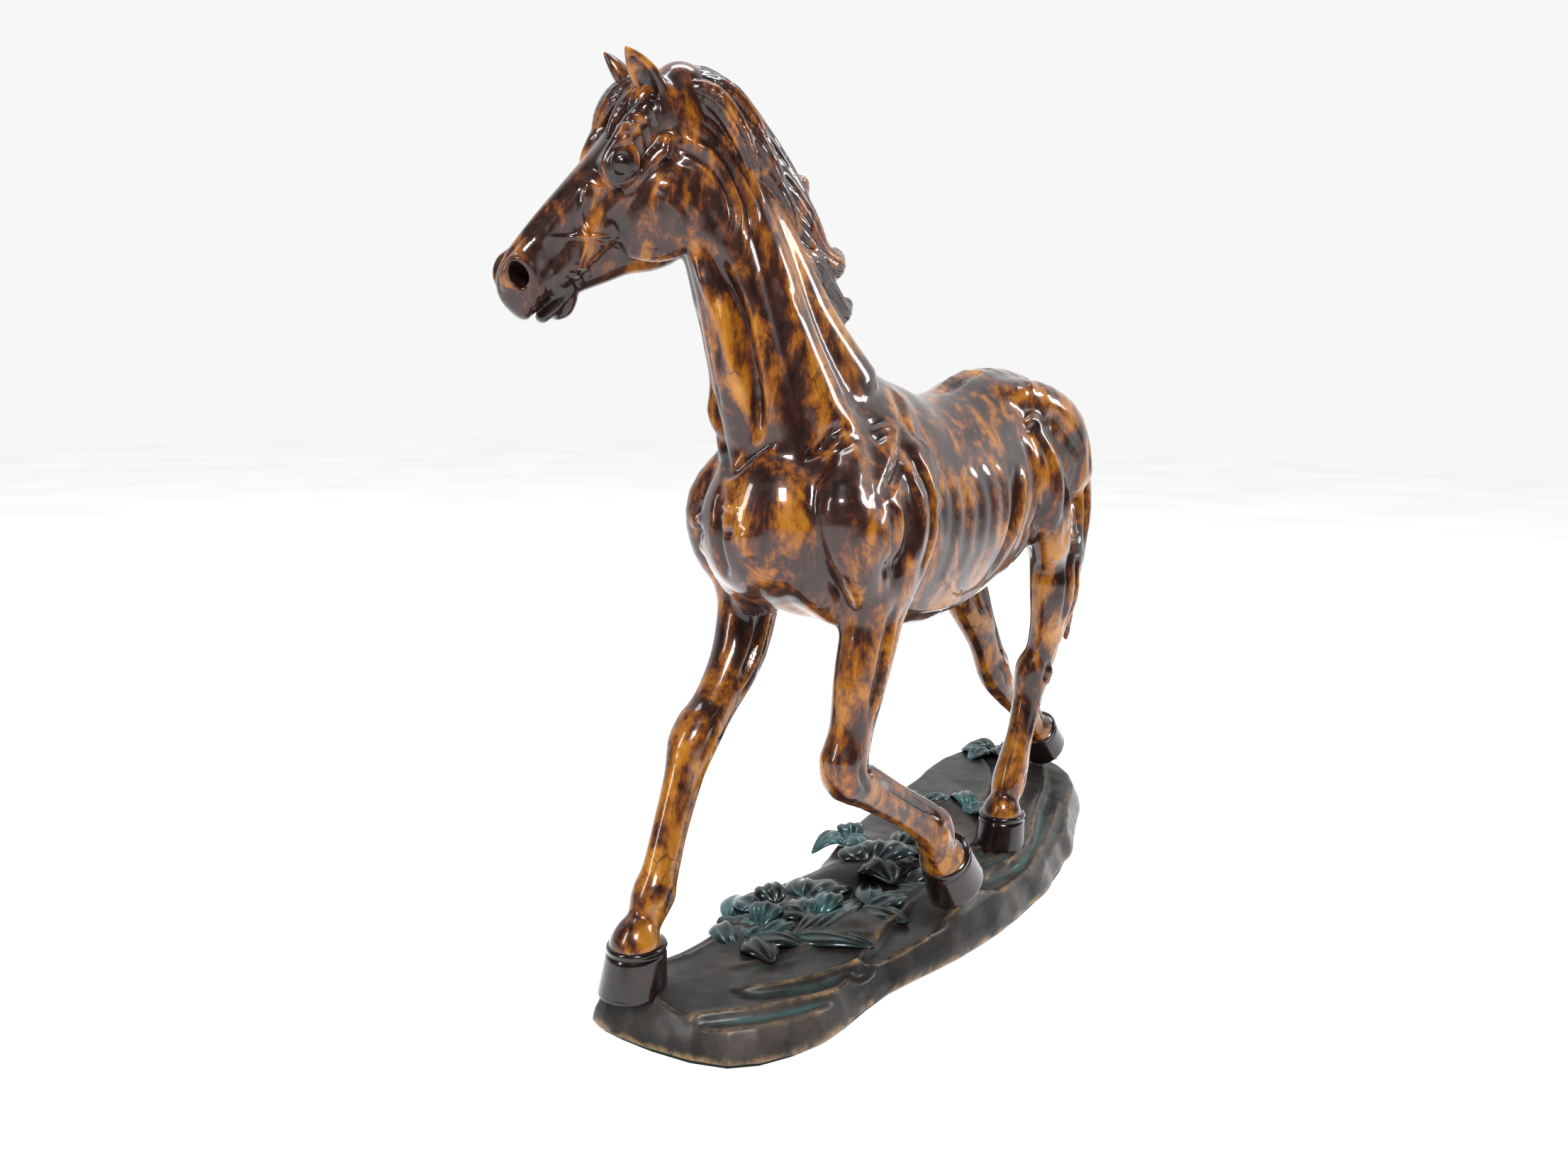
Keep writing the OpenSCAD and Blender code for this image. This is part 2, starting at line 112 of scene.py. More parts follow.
class Field:
    """A block of clay: a distance grid between two corners, with the name of each form."""

    def __init__(self, low, high, step):
        self.low = np.asarray(low, float)
        self.step = step
        self.shape = np.ceil((np.asarray(high, float) - self.low) / step).astype(int) + 1
        self.far = 12.0
        self.d = np.full(self.shape, self.far, np.float32)
        self.form = np.zeros(self.shape, np.uint8)
        self.names = []

    def window(self, low, high):
        """Slices of the grid between two corners, and its x, y and z there."""
        i = np.clip(np.floor((np.asarray(low) - self.low) / self.step).astype(int), 0, self.shape - 1)
        j = np.clip(np.ceil((np.asarray(high) - self.low) / self.step).astype(int) + 1, i + 1, self.shape)
        where = tuple(slice(a, b) for a, b in zip(i, j))
        axes = [(self.low[k] + self.step * np.arange(i[k], j[k])).astype(np.float32) for k in range(3)]
        return where, (axes[0][:, None, None], axes[1][None, :, None], axes[2][None, None, :])

    def tube(self, stations, across=WIDE, steps=4, egg=0.0, margin=10.0, strands=None):
        """Window and distance of a form swept through stations (x, y, z, half width, half depth).

        strands is (count, depth, twist): grooves that run along the form, as between locks of hair.
        """
        s = smooth(stations, steps)
        s[:, 3:] = np.maximum(s[:, 3:], 0.3)
        reach = s[:, 3:].max(axis=1)[:, None] + margin
        where, _ = self.window((s[:, :3] - reach).min(axis=0), (s[:, :3] + reach).max(axis=0))
        out = np.full([k.stop - k.start for k in where], self.far, np.float32)
        origin = self.low + self.step * np.array([k.start for k in where])
        for i, (a, b) in enumerate(zip(s, s[1:])):
            self.segment(out, origin, a, b, across, egg, margin, strands, i / steps)
        return where, out

    def segment(self, out, origin, a, b, across, egg, margin, strands, start):
        """One straight stretch of a tube, with ellipsoidal ends."""
        reach = max(a[3:].max(), b[3:].max()) + margin
        low = np.floor((np.minimum(a[:3], b[:3]) - reach - origin) / self.step).astype(int)
        high = np.ceil((np.maximum(a[:3], b[:3]) + reach - origin) / self.step).astype(int) + 1
        low, high = np.clip(low, 0, out.shape), np.clip(high, 0, out.shape)
        if (high <= low).any():
            return
        ax = [(origin[k] + self.step * np.arange(low[k], high[k]) - a[k]).astype(np.float32)
              for k in range(3)]
        x, y, z = ax[0][:, None, None], ax[1][None, :, None], ax[2][None, None, :]
        run = b[:3] - a[:3]
        length = max(np.linalg.norm(run), 1e-6)
        ahead = run / length
        side = np.asarray(across, float)
        side = unit(side - (side @ ahead) * ahead)
        front = np.cross(ahead, side)
        e = x * ahead[0] + y * ahead[1] + z * ahead[2]
        t = np.clip(e / length, 0, 1)
        e = e - t * length
        p = x * side[0] + y * side[1] + z * side[2]
        q = x * front[0] + y * front[1] + z * front[2]
        half_w = a[3] + (b[3] - a[3]) * t
        half_d = a[4] + (b[4] - a[4]) * t
        if egg:
            half_w = half_w * np.clip(1 + egg * q / half_d, 0.45, 1.6)
        half_e = np.minimum(half_w, half_d)
        k0 = np.sqrt((p / half_w) ** 2 + (q / half_d) ** 2 + (e / half_e) ** 2)
        k1 = np.sqrt((p / half_w ** 2) ** 2 + (q / half_d ** 2) ** 2 + (e / half_e ** 2) ** 2)
        d = k0 * (k0 - 1) / np.maximum(k1, 1e-6)
        if strands:
            count, depth, twist = strands
            phase = 0.5 * count * np.arctan2(q / half_d, p / half_w) + twist * (start + t / 4)
            d = d + depth * (1 - np.sqrt(np.abs(np.sin(phase))))
        view = out[low[0]:high[0], low[1]:high[1], low[2]:high[2]]
        np.minimum(view, d, out=view)

    def add(self, name, stations, blend=5.0, across=WIDE, steps=4, egg=0.0, strands=None):
        """Joins a tube to the clay with a fillet, and names what it covers."""
        self.join(name, *self.tube(stations, across, steps, egg, blend + 4.0, strands), blend)

    def join(self, name, where, d, blend):
        if name not in self.names:
            self.names.append(name)
        old = self.d[where]
        h = np.maximum(blend - np.abs(old - d), 0) / blend
        self.form[where] = np.where(d < old, self.names.index(name) + 1, self.form[where])
        self.d[where] = np.minimum(old, d) - h * h * blend * 0.25

    def cut(self, stations, blend=2.0, across=WIDE, steps=4, egg=0.0):
        """Carves a tube out of the clay, with a rounded lip."""
        where, d = self.tube(stations, across, steps, egg, blend + 4.0)
        old = self.d[where]
        h = np.maximum(blend - np.abs(old + d), 0) / blend
        self.d[where] = np.maximum(old, -d) + h * h * blend * 0.25

    def soften(self, passes=1):
        for _ in range(passes):
            for axis in range(3):
                d = np.moveaxis(self.d, axis, 0)
                d[1:-1] = 0.25 * d[:-2] + 0.5 * d[1:-1] + 0.25 * d[2:]

    def sample(self, grid, points):
        """The grid's value at points, between its cells."""
        g = (points - self.low) / self.step
        i = np.clip(np.floor(g).astype(int), 0, self.shape - 2)
        f = np.clip(g - i, 0, 1)
        value = 0
        for corner in range(8):
            c = np.array([corner & 1, corner >> 1 & 1, corner >> 2 & 1])
            weight = np.prod(np.where(c, f, 1 - f), axis=1)
            value = value + weight * grid[tuple((i + c).T)]
        return value

    def surface(self):
        """The skin of the clay as a Skin, with the form under each point."""
        grid = openvdb.FloatGrid(float(self.far))
        grid.copyFromArray(np.ascontiguousarray(self.d), tolerance=0.0)
        points, quads = grid.convertToQuads(isovalue=0.0)
        points = self.low + self.step * points.astype(float)
        skin = Skin(points, quads.astype(int))
        for _ in range(2):
            skin.relax(0.5)
            skin.points -= skin.normals() * self.sample(self.d, skin.points)[:, None]
        nearest = np.clip(np.rint((skin.points - self.low) / self.step).astype(int), 0, self.shape - 1)
        skin.form = self.form[tuple(nearest.T)]
        skin.names = ["clay"] + [name for name in self.names if name != "clay"]
        return skin


class Skin:
    """A mesh of quads in numpy, that strokes can raise and carve."""

    def __init__(self, points, quads):
        self.points, self.quads = points, quads
        pairs = np.vstack([quads[:, [k, (k + 1) % 4]] for k in range(4)])
        self.pairs = np.unique(np.sort(pairs, axis=1), axis=0)
        self.count = np.bincount(self.pairs.ravel(), minlength=len(points)).astype(float)
        self.cavity = np.zeros(len(points))
        self.dark = np.zeros(len(points))
        self.form, self.names = np.zeros(len(points), int), ["clay"]
        if (self.normals() * (points - points.mean(axis=0))).sum() < 0:
            self.quads = quads[:, ::-1]

    def around(self, values):
        """The mean of each point's neighbours."""
        a, b = self.pairs.T
        total = np.zeros_like(values)
        flat = values.reshape(len(values), -1)
        sums = total.reshape(len(values), -1)
        for k in range(flat.shape[1]):
            sums[:, k] = (np.bincount(a, flat[b, k], len(values)) + np.bincount(b, flat[a, k], len(values)))
        return (sums / np.maximum(self.count, 1)[:, None]).reshape(values.shape)

    def relax(self, share):
        self.points += share * (self.around(self.points) - self.points)

    def normals(self):
        p = self.points[self.quads]
        face = np.cross(p[:, 2] - p[:, 0], p[:, 3] - p[:, 1])
        out = np.zeros_like(self.points)
        for corner in range(4):
            for k in range(3):
                out[:, k] += np.bincount(self.quads[:, corner], face[:, k], len(self.points))
        return unit(out)

    def stroke(self, path, width, height, flat, facing, keep=None, taper=0.25):
        """Raises (or carves, with a height below 0) a soft line on the skin.

        path is drawn in the plane of the two axes in flat, on the side that facing looks at.
        """
        path = smooth(path, 6)
        u, v = (self.points @ np.asarray(a, float) for a in flat)
        toward = self.look @ np.asarray(facing, float)
        lows, highs = path.min(axis=0) - 3 * width, path.max(axis=0) + 3 * width
        near = (u > lows[0]) & (u < highs[0]) & (v > lows[1]) & (v < highs[1]) & (toward > 0.1)
        if keep is not None:
            near &= keep
        pick = np.nonzero(near)[0]
        if not len(pick):
            return
        uv = np.stack([u[pick], v[pick]], axis=1)
        steps = np.linalg.norm(np.diff(path, axis=0), axis=1)
        along = np.concatenate([[0], np.cumsum(steps)]) / max(steps.sum(), 1e-6)
        best, where = np.full(len(pick), 1e9), np.zeros(len(pick))
        for i in range(len(path) - 1):
            run = path[i + 1] - path[i]
            t = np.clip(((uv - path[i]) @ run) / max(run @ run, 1e-9), 0, 1)
            gap = ((uv - path[i] - t[:, None] * run) ** 2).sum(axis=1)
            closer = gap < best
            best = np.where(closer, gap, best)
            where = np.where(closer, along[i] + t * (along[i + 1] - along[i]), where)
        ends = np.clip(np.minimum(where, 1 - where) / max(taper, 1e-3), 0, 1)
        ends = ends * ends * (3 - 2 * ends) if taper else 1.0
        side = np.clip((toward[pick] - 0.1) / 0.4, 0, 1)
        lift = height * ends * side * np.exp(-best / (width * width))
        self.lift[pick] += lift

    def start_strokes(self):
        """Strokes are gathered against one set of normals, so they can cross."""
        self.look = self.normals()
        self.lift = np.zeros(len(self.points))

    def apply_strokes(self):
        self.points += self.look * self.lift[:, None]

    def read_cavity(self, passes):
        """How hollow the skin is at each point: above 0 in grooves, below 0 on ridges."""
        gap = self.around(self.points) - self.points
        bend = (gap * self.normals()).sum(axis=1)
        self.cavity = np.zeros(len(bend))
        for share, more in ((0.5, passes), (0.6, passes * 5)):
            for _ in range(more):
                bend = 0.5 * bend + 0.5 * self.around(bend)
            self.cavity += share * bend / max(np.percentile(np.abs(bend), 97), 1e-9)


# ---- The figure ----------------------------------------------------------------------------
# A station is (x, y, z, half width, half depth) in millimetres, with z above the soles.

BARREL = [
    (-136, 0, 200, 17, 20), (-124, 0, 200, 33, 37), (-95, 0, 204, 40, 51), (-60, 0, 204, 40, 58),
    (-20, 0, 197, 42, 58), (25, 0, 204, 43, 56), (60, 0, 216, 39, 55), (88, 0, 220, 37, 50),
    (114, 0, 216, 31, 41), (133, 0, 210, 20, 27), (141, 0, 206, 10, 14),
]
NECK = [
    (-88, 0, 226, 33, 47), (-104, 4, 246, 27, 42), (-118, 8, 274, 20, 34), (-129, 13, 304, 17, 28),
    (-139, 18, 330, 15, 25), (-148, 22, 350, 13.5, 22),
]
LEFT_FORE = [
    (-94, -35, 172, 12, 17), (-105, -34, 134, 11.5, 14), (-111, -33.5, 110, 9.5, 10.5),
    (-115, -33, 91, 11, 11.5), (-100, -36, 80, 8.5, 10), (-78, -40, 66, 7.3, 8.8),
    (-63, -43, 56, 8, 9.5), (-55, -45, 49.5, 9.5, 10), (-50.5, -45, 39.5, 8.8, 9.2),
    (-44, -45, 32, 11.5, 11.5),
]
RIGHT_FORE = [
    (-94, 37, 172, 13, 19), (-109, 32, 137, 11.8, 14.5), (-127, 30, 116, 9.8, 11),
    (-144.5, 29, 100, 11, 11.5), (-153, 28, 84, 8.2, 9.8), (-163, 26.5, 64, 7.3, 9),
    (-171, 25, 47, 7.8, 9.2), (-176, 24.5, 38, 9.3, 10.2), (-182, 24, 28, 7.4, 8.4),
    (-187, 23.5, 23, 9.8, 10.3), (-188, 23.5, 19.5, 11.5, 11.5),
]
LEFT_HIND = [
    (105, -25, 188, 10, 20), (97, -33, 150, 12.5, 21), (96, -31, 128, 9.8, 15), (94, -28, 110, 8.6, 11.5),
    (90, -25, 99, 9.4, 12.5), (86, -24.5, 82, 8, 10), (78, -24.5, 62, 7.2, 9.2),
    (68, -24, 37, 9.4, 10.6), (63.5, -24, 28, 7.4, 8.4), (61, -24, 23, 9.8, 10.3),
    (60.5, -24, 19.5, 11.5, 11.5),
]
RIGHT_HIND = [
    (104, 25, 188, 10, 19), (104, 32, 150, 12.5, 20), (114, 28, 126, 10.5, 15), (127, 26, 104, 8.8, 12.5),
    (138, 24, 82, 9, 12), (155, 23, 66, 7.5, 9.5), (173, 22.5, 54, 7.4, 9), (187, 22, 45, 9, 10),
    (193.5, 21.5, 37, 8.5, 9), (201, 21, 30.5, 11.5, 11.5),
]
LEGS = {"left_foreleg": LEFT_FORE, "right_foreleg": RIGHT_FORE,
        "left_hind_leg": LEFT_HIND, "right_hind_leg": RIGHT_HIND}

# Muscles of the left side of the torso, each with the fillet that joins it
TORSO_MUSCLES = [
    ([(-58, -16, 246, 7, 9), (-78, -29, 228, 10, 17), (-99, -38, 207, 11, 19), (-115, -42, 195, 10, 15)], 6),
    ([(-64, -33, 226, 9, 14), (-78, -41, 205, 11, 18), (-87, -42, 183, 10, 15), (-88, -38, 168, 7, 10)], 3),
    ([(-112, -30, 224, 9, 12), (-123, -35, 206, 12, 15), (-119, -39, 187, 10, 13),
      (-106, -38, 170, 8, 11)], 3.5),
    ([(-130, -12, 218, 9, 13), (-136, -15, 200, 12, 15), (-128, -18, 180, 11, 13),
      (-112, -22, 164, 8, 9)], 2.5),
    ([(-116, -8, 168, 9, 9), (-94, -12, 160, 10, 7), (-72, -10, 160, 7, 5), (-58, -8, 162, 2, 2)], 5),
    ([(48, -15, 254, 9, 9), (74, -23, 250, 14, 15), (97, -29, 236, 15, 19), (108, -32, 214, 13, 17)], 5),
    ([(110, -16, 240, 11, 13), (122, -23, 218, 13, 16), (120, -29, 192, 12, 16),
      (108, -33, 168, 10, 14)], 3.5),
    ([(58, -30, 240, 7, 9), (64, -36, 218, 10, 14), (72, -38, 196, 11, 15), (82, -36, 174, 10, 13)], 4),
]

# Bands of the neck, left side: marks on the neck's skin, and the fillet
NECK_BANDS = [
    ([(5, 150, .72, 5.5, 7), (4, 145, .8, 6.5, 8), (3, 140, .82, 7, 9), (2, 135, .84, 8, 10),
      (1, 130, .86, 8.5, 11), (0.2, 122, .86, 9, 12)], 2.2),
    ([(5, 188, .74, 5.5, 8), (4, 182, .8, 6.5, 9), (3, 176, .84, 7.5, 10), (2, 170, .86, 8.5, 12),
      (1, 164, .88, 10, 14), (0.2, 160, .9, 11, 15)], 2.6),
    ([(5, 226, .7, 6, 8), (4, 224, .75, 7, 9), (3, 222, .78, 8, 11), (2, 219, .8, 9, 13),
      (1, 216, .8, 10, 15)], 4),
]
TRACHEA = [(5, 90, .72, 7, 6.5), (4, 90, .77, 8, 7.5), (3, 90, .8, 9, 8.5), (2, 90, .83, 10, 9),
           (1, 90, .82, 11, 10), (0.3, 90, .76, 11, 10)]
CREST = [(0.5, 270, .8, 8, 10), (2, 270, .86, 6.5, 8), (3.5, 270, .86, 6, 7), (5, 270, .8, 6, 7)]

# The neck runs on to here inside the head
NECK_TOP = (-158, 26, 366, 12, 17)

# Forms on each leg, as marks on its skin: angle 90 is the back of the leg, 270 its front
FORE_FORMS = [
    ([(0.1, 262, .4, 9, 9), (1, 262, .42, 8, 8), (2.2, 265, .45, 6, 5.5)], 3),
    ([(0.1, 95, .45, 9, 9), (1, 95, .5, 7.5, 7.5), (2.3, 92, .45, 5.5, 5.5)], 3),
    ([(2.7, 270, .5, 7.5, 5.5), (3.2, 270, .45, 7.5, 5.5)], 3),
    ([(2.85, 90, .72, 4, 4.5), (3.1, 90, .72, 4, 4.5)], 2.5),
    ([(4, 90, .62, 4, 3.6), (5, 90, .68, 3.6, 3.4), (6.2, 90, .66, 4, 3.8)], 1.5),
]
HIND_FORMS = [
    ([(0.4, 270, .5, 9, 9), (1.4, 268, .5, 8, 8), (2.6, 268, .5, 5.5, 5.5)], 3),
    ([(0.6, 90, .6, 8, 9), (1.6, 90, .72, 6, 6), (2.6, 90, .88, 3.4, 3.6), (3.6, 90, 1.05, 3.4, 3.8),
      (4.1, 90, .98, 4.6, 5), (4.6, 90, .6, 4.5, 4.5)], 2.2),
    ([(3.9, 0, .5, 5, 6), (4.5, 0, .4, 5, 6)], 3),
    ([(3.9, 180, .5, 5, 6), (4.5, 180, .4, 5, 6)], 3),
    ([(5, 90, .62, 4, 3.6), (6, 90, .68, 3.6, 3.4), (6.6, 90, .66, 4, 3.8)], 1.5),
]


def fetlock_forms(leg):
    """The sesamoid bulge behind the fetlock."""
    last = len(leg) - 1
    return [([(last - 3.1 if last > 9 else last - 2.1, 90, .55, 6.5, 5.5),
              (last - 2.8 if last > 9 else last - 1.8, 90, .5, 5.5, 5)], 2)]

# Lines of the body: path, half width, height. A height below 0 is a groove.
# The chest is drawn in y and z, seen from the front
CHEST_LINES = [
    ([(8, 218), (7, 197), (6, 174)], 2.6, -2.8),
    ([(-14, 237), (-3, 229), (6, 221), (16, 229), (27, 240)], 2.2, -1.8),
    ([(32, 208), (28, 197), (31, 192), (36, 187)], 1.7, -1.7), ([(27, 197), (18, 193)], 1.7, -1.5),
    ([(34, 200), (36, 194)], 2.2, 1.0), ([(24, 203), (22, 198)], 2.4, 1.0),
    ([(24, 190), (28, 184)], 2.4, 1.0),
    ([(5, 197), (-4, 197)], 1.4, -1.2), ([(0, 209), (1, 206)], 3.0, 1.3), ([(-8, 200), (-9, 186)], 4.0, 1.2),
    ([(-20, 225), (-27, 237), (-33, 248)], 1.8, -1.8), ([(-31, 230), (-36, 240), (-39, 249)], 1.6, -1.4),
    ([(-25, 226), (-31, 238), (-36, 250)], 1.6, 1.0),
    ([(12, 318), (4, 298), (-2, 280), (-5, 250), (-3, 232)], 2.4, -3.2),
    ([(17, 312), (10, 292), (5, 276), (1, 250)], 2.2, 1.8),
    ([(27, 292), (25, 274), (24, 258), (15, 228)], 2.2, -2.8),
    ([(32, 300), (31, 276), (30, 258), (20, 232)], 2.2, 1.4),
    ([(-8, 300), (-20, 280), (-28, 260), (-26, 245)], 2.8, 1.8),
    ([(-14, 306), (-27, 282), (-36, 262)], 2.2, -2.4),
    ([(8, 300), (8, 282), (8, 262)], 1.4, -0.8), ([(14, 290), (15, 268), (11, 244)], 1.6, -0.9),
]
# The flank is drawn in x and z, seen from the side, and both sides share it
FLANK_LINES = [
    ([(-84, 238), (-78, 214), (-80, 190), (-89, 171)], 2.8, -2.8),
    ([(-92, 233), (-87, 212), (-90, 190), (-98, 176)], 2.8, 1.3),
    ([(-99, 215), (-96, 196), (-100, 177)], 2.0, -1.7), ([(-111, 212), (-108, 193), (-112, 175)], 2.2, -1.7),
    ([(-105, 213), (-102, 194), (-106, 175)], 2.0, 1.1),
    ([(-66, 251), (-80, 237), (-98, 223), (-117, 210)], 2.6, -2.4),
    ([(-62, 244), (-76, 230), (-94, 216)], 2.6, 1.0), ([(-60, 258), (-68, 246), (-71, 230)], 3.0, -1.8),
    ([(-76, 208), (-62, 192), (-60, 174)], 3.0, -1.3), ([(-70, 214), (-55, 198), (-52, 180)], 3.0, 0.9),
    ([(25, 224), (20, 200), (13, 176), (4, 160)], 3.0, -2.5), ([(34, 224), (28, 198), (21, 174)], 2.8, 1.3),
    ([(58, 200), (47, 182), (40, 166)], 3.0, -2.2),
    ([(112, 242), (118, 216), (118, 190), (109, 166)], 2.6, -2.3),
    ([(64, 250), (80, 240), (98, 222)], 3.4, -1.4), ([(76, 222), (72, 196), (80, 172)], 3.0, -1.6),
    ([(-97, 168), (-84, 161), (-69, 158)], 2.2, -1.9),
    ([(-72, 160), (-42, 153), (-6, 154), (20, 162)], 1.7, 1.0),
    ([(-44, 172), (-28, 162), (-16, 160)], 1.4, 0.8), ([(-118, 196), (-110, 186), (-108, 172)], 1.3, 0.8),
]
# Where the ribs and the folds of the haunch start, along x
RIB_PLACES = range(-52, 20, 12)
HAUNCH_FOLDS = range(38, 108, 13)
# How much higher and deeper the lines of each region are than their rows say
CHEST_DEPTH, FLANK_DEPTH, LEG_DEPTH = 1.4, 1.05, 1.5
# Lines along a leg: first and last mark, distance behind the middle, half width, height
FORE_LINES = [
    (0.2, 2.2, 0.30, 1.7, -1.5), (0.2, 1.8, -0.25, 1.7, -1.4), (0.4, 2.0, 0.02, 1.5, 0.9),
    (0.3, 1.4, 0.62, 1.5, -1.1), (2.6, 3.5, -0.20, 1.4, -0.9), (2.6, 3.4, 0.42, 1.5, -1.2),
    (3.8, 6.4, 0.34, 1.3, -1.3), (3.9, 6.0, -0.10, 1.0, 0.6), (6.3, 7.6, 0.20, 1.4, -1.0),
    (6.4, 7.4, -0.30, 1.2, 0.6),
]
HIND_LINES = [
    (0.2, 2.4, 0.12, 1.9, -1.7), (0.3, 2.2, -0.36, 1.8, -1.4), (0.6, 3.0, 0.55, 1.9, -2.0),
    (2.6, 3.6, 0.34, 2.2, -2.0), (3.4, 4.4, -0.20, 1.6, -1.2), (3.6, 4.5, 0.20, 1.5, 0.9),
    (4.6, 6.6, 0.34, 1.3, -1.3), (4.7, 6.2, -0.12, 1.0, 0.6), (6.6, 7.8, 0.20, 1.4, -1.0),
]


def along_leg(leg, first, last, behind):
    """A path in x and z that runs down a leg, a share of its depth behind the middle."""
    marks = np.linspace(first, last, 5)
    rows = on_skin(leg, [(t, 90, 0.0, 1, 1) for t in marks])
    backs = on_skin(leg, [(t, 90, 1.0, 1, 1) for t in marks])
    return [tuple((np.array(a[:3]) + behind * (np.array(b[:3]) - np.array(a[:3])))[[0, 2]])
            for a, b in zip(rows, backs)]


def add_neck(clay, stations, blend, place=list, across=WIDE):
    """The neck with its crest, windpipe and bands. place takes stations to the clay's own axes."""
    clay.add("neck", place(stations), blend, across, egg=0.18)
    clay.add("neck", place(on_skin(NECK, CREST)), 6, across)
    clay.add("neck", place(on_skin(NECK, TRACHEA)), 2.5, across)
    for marks, fillet in NECK_BANDS:
        for band in (marks, [(t, 180 - angle, *rest) for t, angle, *rest in marks]):
            clay.add("neck", place(on_skin(NECK, band)), fillet, across)


def carve_body(skin):
    """Folds, tendons and veins, stroked on the finished figure."""
    side_plane = ((1, 0, 0), (0, 0, 1))
    flank = list(FLANK_LINES)
    for x in RIB_PLACES:
        flank += [([(x, 228), (x + 5, 204), (x + 3, 180), (x - 5, 162)], 3.6, 0.3),
                  ([(x + 6, 226), (x + 11, 204), (x + 9, 182)], 3.0, -0.3)]
    for x in HAUNCH_FOLDS:
        flank += [([(x, 240), (x + 7, 216), (x + 5, 192), (x - 2, 172)], 2.3, -0.8),
                  ([(x + 6, 238), (x + 13, 214), (x + 10, 190)], 2.6, 0.6)]
    forms = skin.form
    trunk = np.isin(forms, [skin.names.index("torso"), skin.names.index("neck")])
    skin.start_strokes()
    for path, width, height in CHEST_LINES:
        skin.stroke(path, width, CHEST_DEPTH * height, ((0, 1, 0), (0, 0, 1)), (-1, 0, 0), trunk)
    for side in (-1, 1):
        for path, width, height in flank:
            skin.stroke(path, width, FLANK_DEPTH * height, side_plane, (0, side, 0), trunk)
        for name, leg in LEGS.items():
            own = forms == skin.names.index(name)
            for first, last, behind, width, height in FORE_LINES if "fore" in name else HIND_LINES:
                last = min(last, len(leg) - 1.2)
                path = along_leg(leg, first, last, behind)
                skin.stroke(path, width, LEG_DEPTH * height, side_plane, (0, side, 0), own)
    skin.apply_strokes()


def model_figure():
    """Torso, neck and legs as one block of clay."""
    clay = Field((-206, -68, 14), (222, 70, 372), BODY_STEP)
    clay.add("torso", BARREL, steps=3, egg=-0.1)
    clay.add("torso", [(-90, 0, 238, 10, 13), (-62, 0, 249, 9, 13), (-36, 0, 244, 8, 12),
                       (-8, 0, 236, 9, 12)], 9)
    for stations, blend in TORSO_MUSCLES:
        clay.add("torso", stations, blend)
        clay.add("torso", flipped(stations), blend)
    add_neck(clay, NECK, 9)
    for name, leg in LEGS.items():
        clay.add(name, leg, 8)
        forms = FORE_FORMS if "fore" in name else HIND_FORMS
        for marks, blend in forms + fetlock_forms(leg):
            clay.add(name, on_skin(leg, marks), blend)
    clay.cut([(146, 0, 236, 1.5, 6), (140, 0, 214, 1.5, 6), (132, 0, 190, 2, 6)], 4)
    clay.soften()
    skin = clay.surface()
    carve_body(skin)
    return skin


# ---- The head ------------------------------------------------------------------------------
# The head's own axes: x towards the muzzle, y its left, z the brow. Its origin is the poll.

POLL = np.array([-170.0, 31.0, 373.0])


def turn(axis, degrees):
    """A rotation matrix about one axis."""
    c, s = math.cos(math.radians(degrees)), math.sin(math.radians(degrees))
    i, j = [k for k in range(3) if k != axis]
    m = np.eye(3)
    m[i, i] = m[j, j] = c
    m[i, j], m[j, i] = (-s, s) if axis != 1 else (s, -s)
    return m


HEAD_AXES = turn(2, 148) @ turn(1, 47) @ turn(0, -12)


def to_head(stations):
    return [[*(HEAD_AXES.T @ (np.array(s[:3]) - POLL)), *s[3:]] for s in stations]


SKULL = [
    (-8, 0, -10, 12, 12), (6, 0, -8, 13.5, 11), (20, 0, -8.5, 14.5, 10), (32, 0, -11, 13.5, 11),
    (42, 0, -12, 11.5, 11.5), (54, 0, -13, 9.5, 12), (66, 0, -14, 8, 12.5), (78, 0, -15, 7, 12.5),
    (88, 0, -16, 7, 12), (94, 0, -18, 6.5, 10.5), (97, 0, -20, 5.5, 7),
]
JAW = [(12, 0, -36, 9, 14), (22, 0, -37, 10, 16), (33, 0, -39, 10, 17), (43, 0, -36, 9, 16),
       (53, 0, -33, 7.5, 12.5), (63, 0, -30.5, 6.5, 10.5), (74, 0, -27.5, 5.8, 8.5), (82, 0, -27, 5.6, 7)]
CHEEK = [(11, 11, -31, 4, 9), (17, 13.5, -34, 6, 14), (26, 15.5, -36, 6.8, 16), (35, 15, -36, 6.6, 15.5),
         (43, 12.5, -34.5, 5.6, 13), (50, 9.5, -32, 4, 8)]
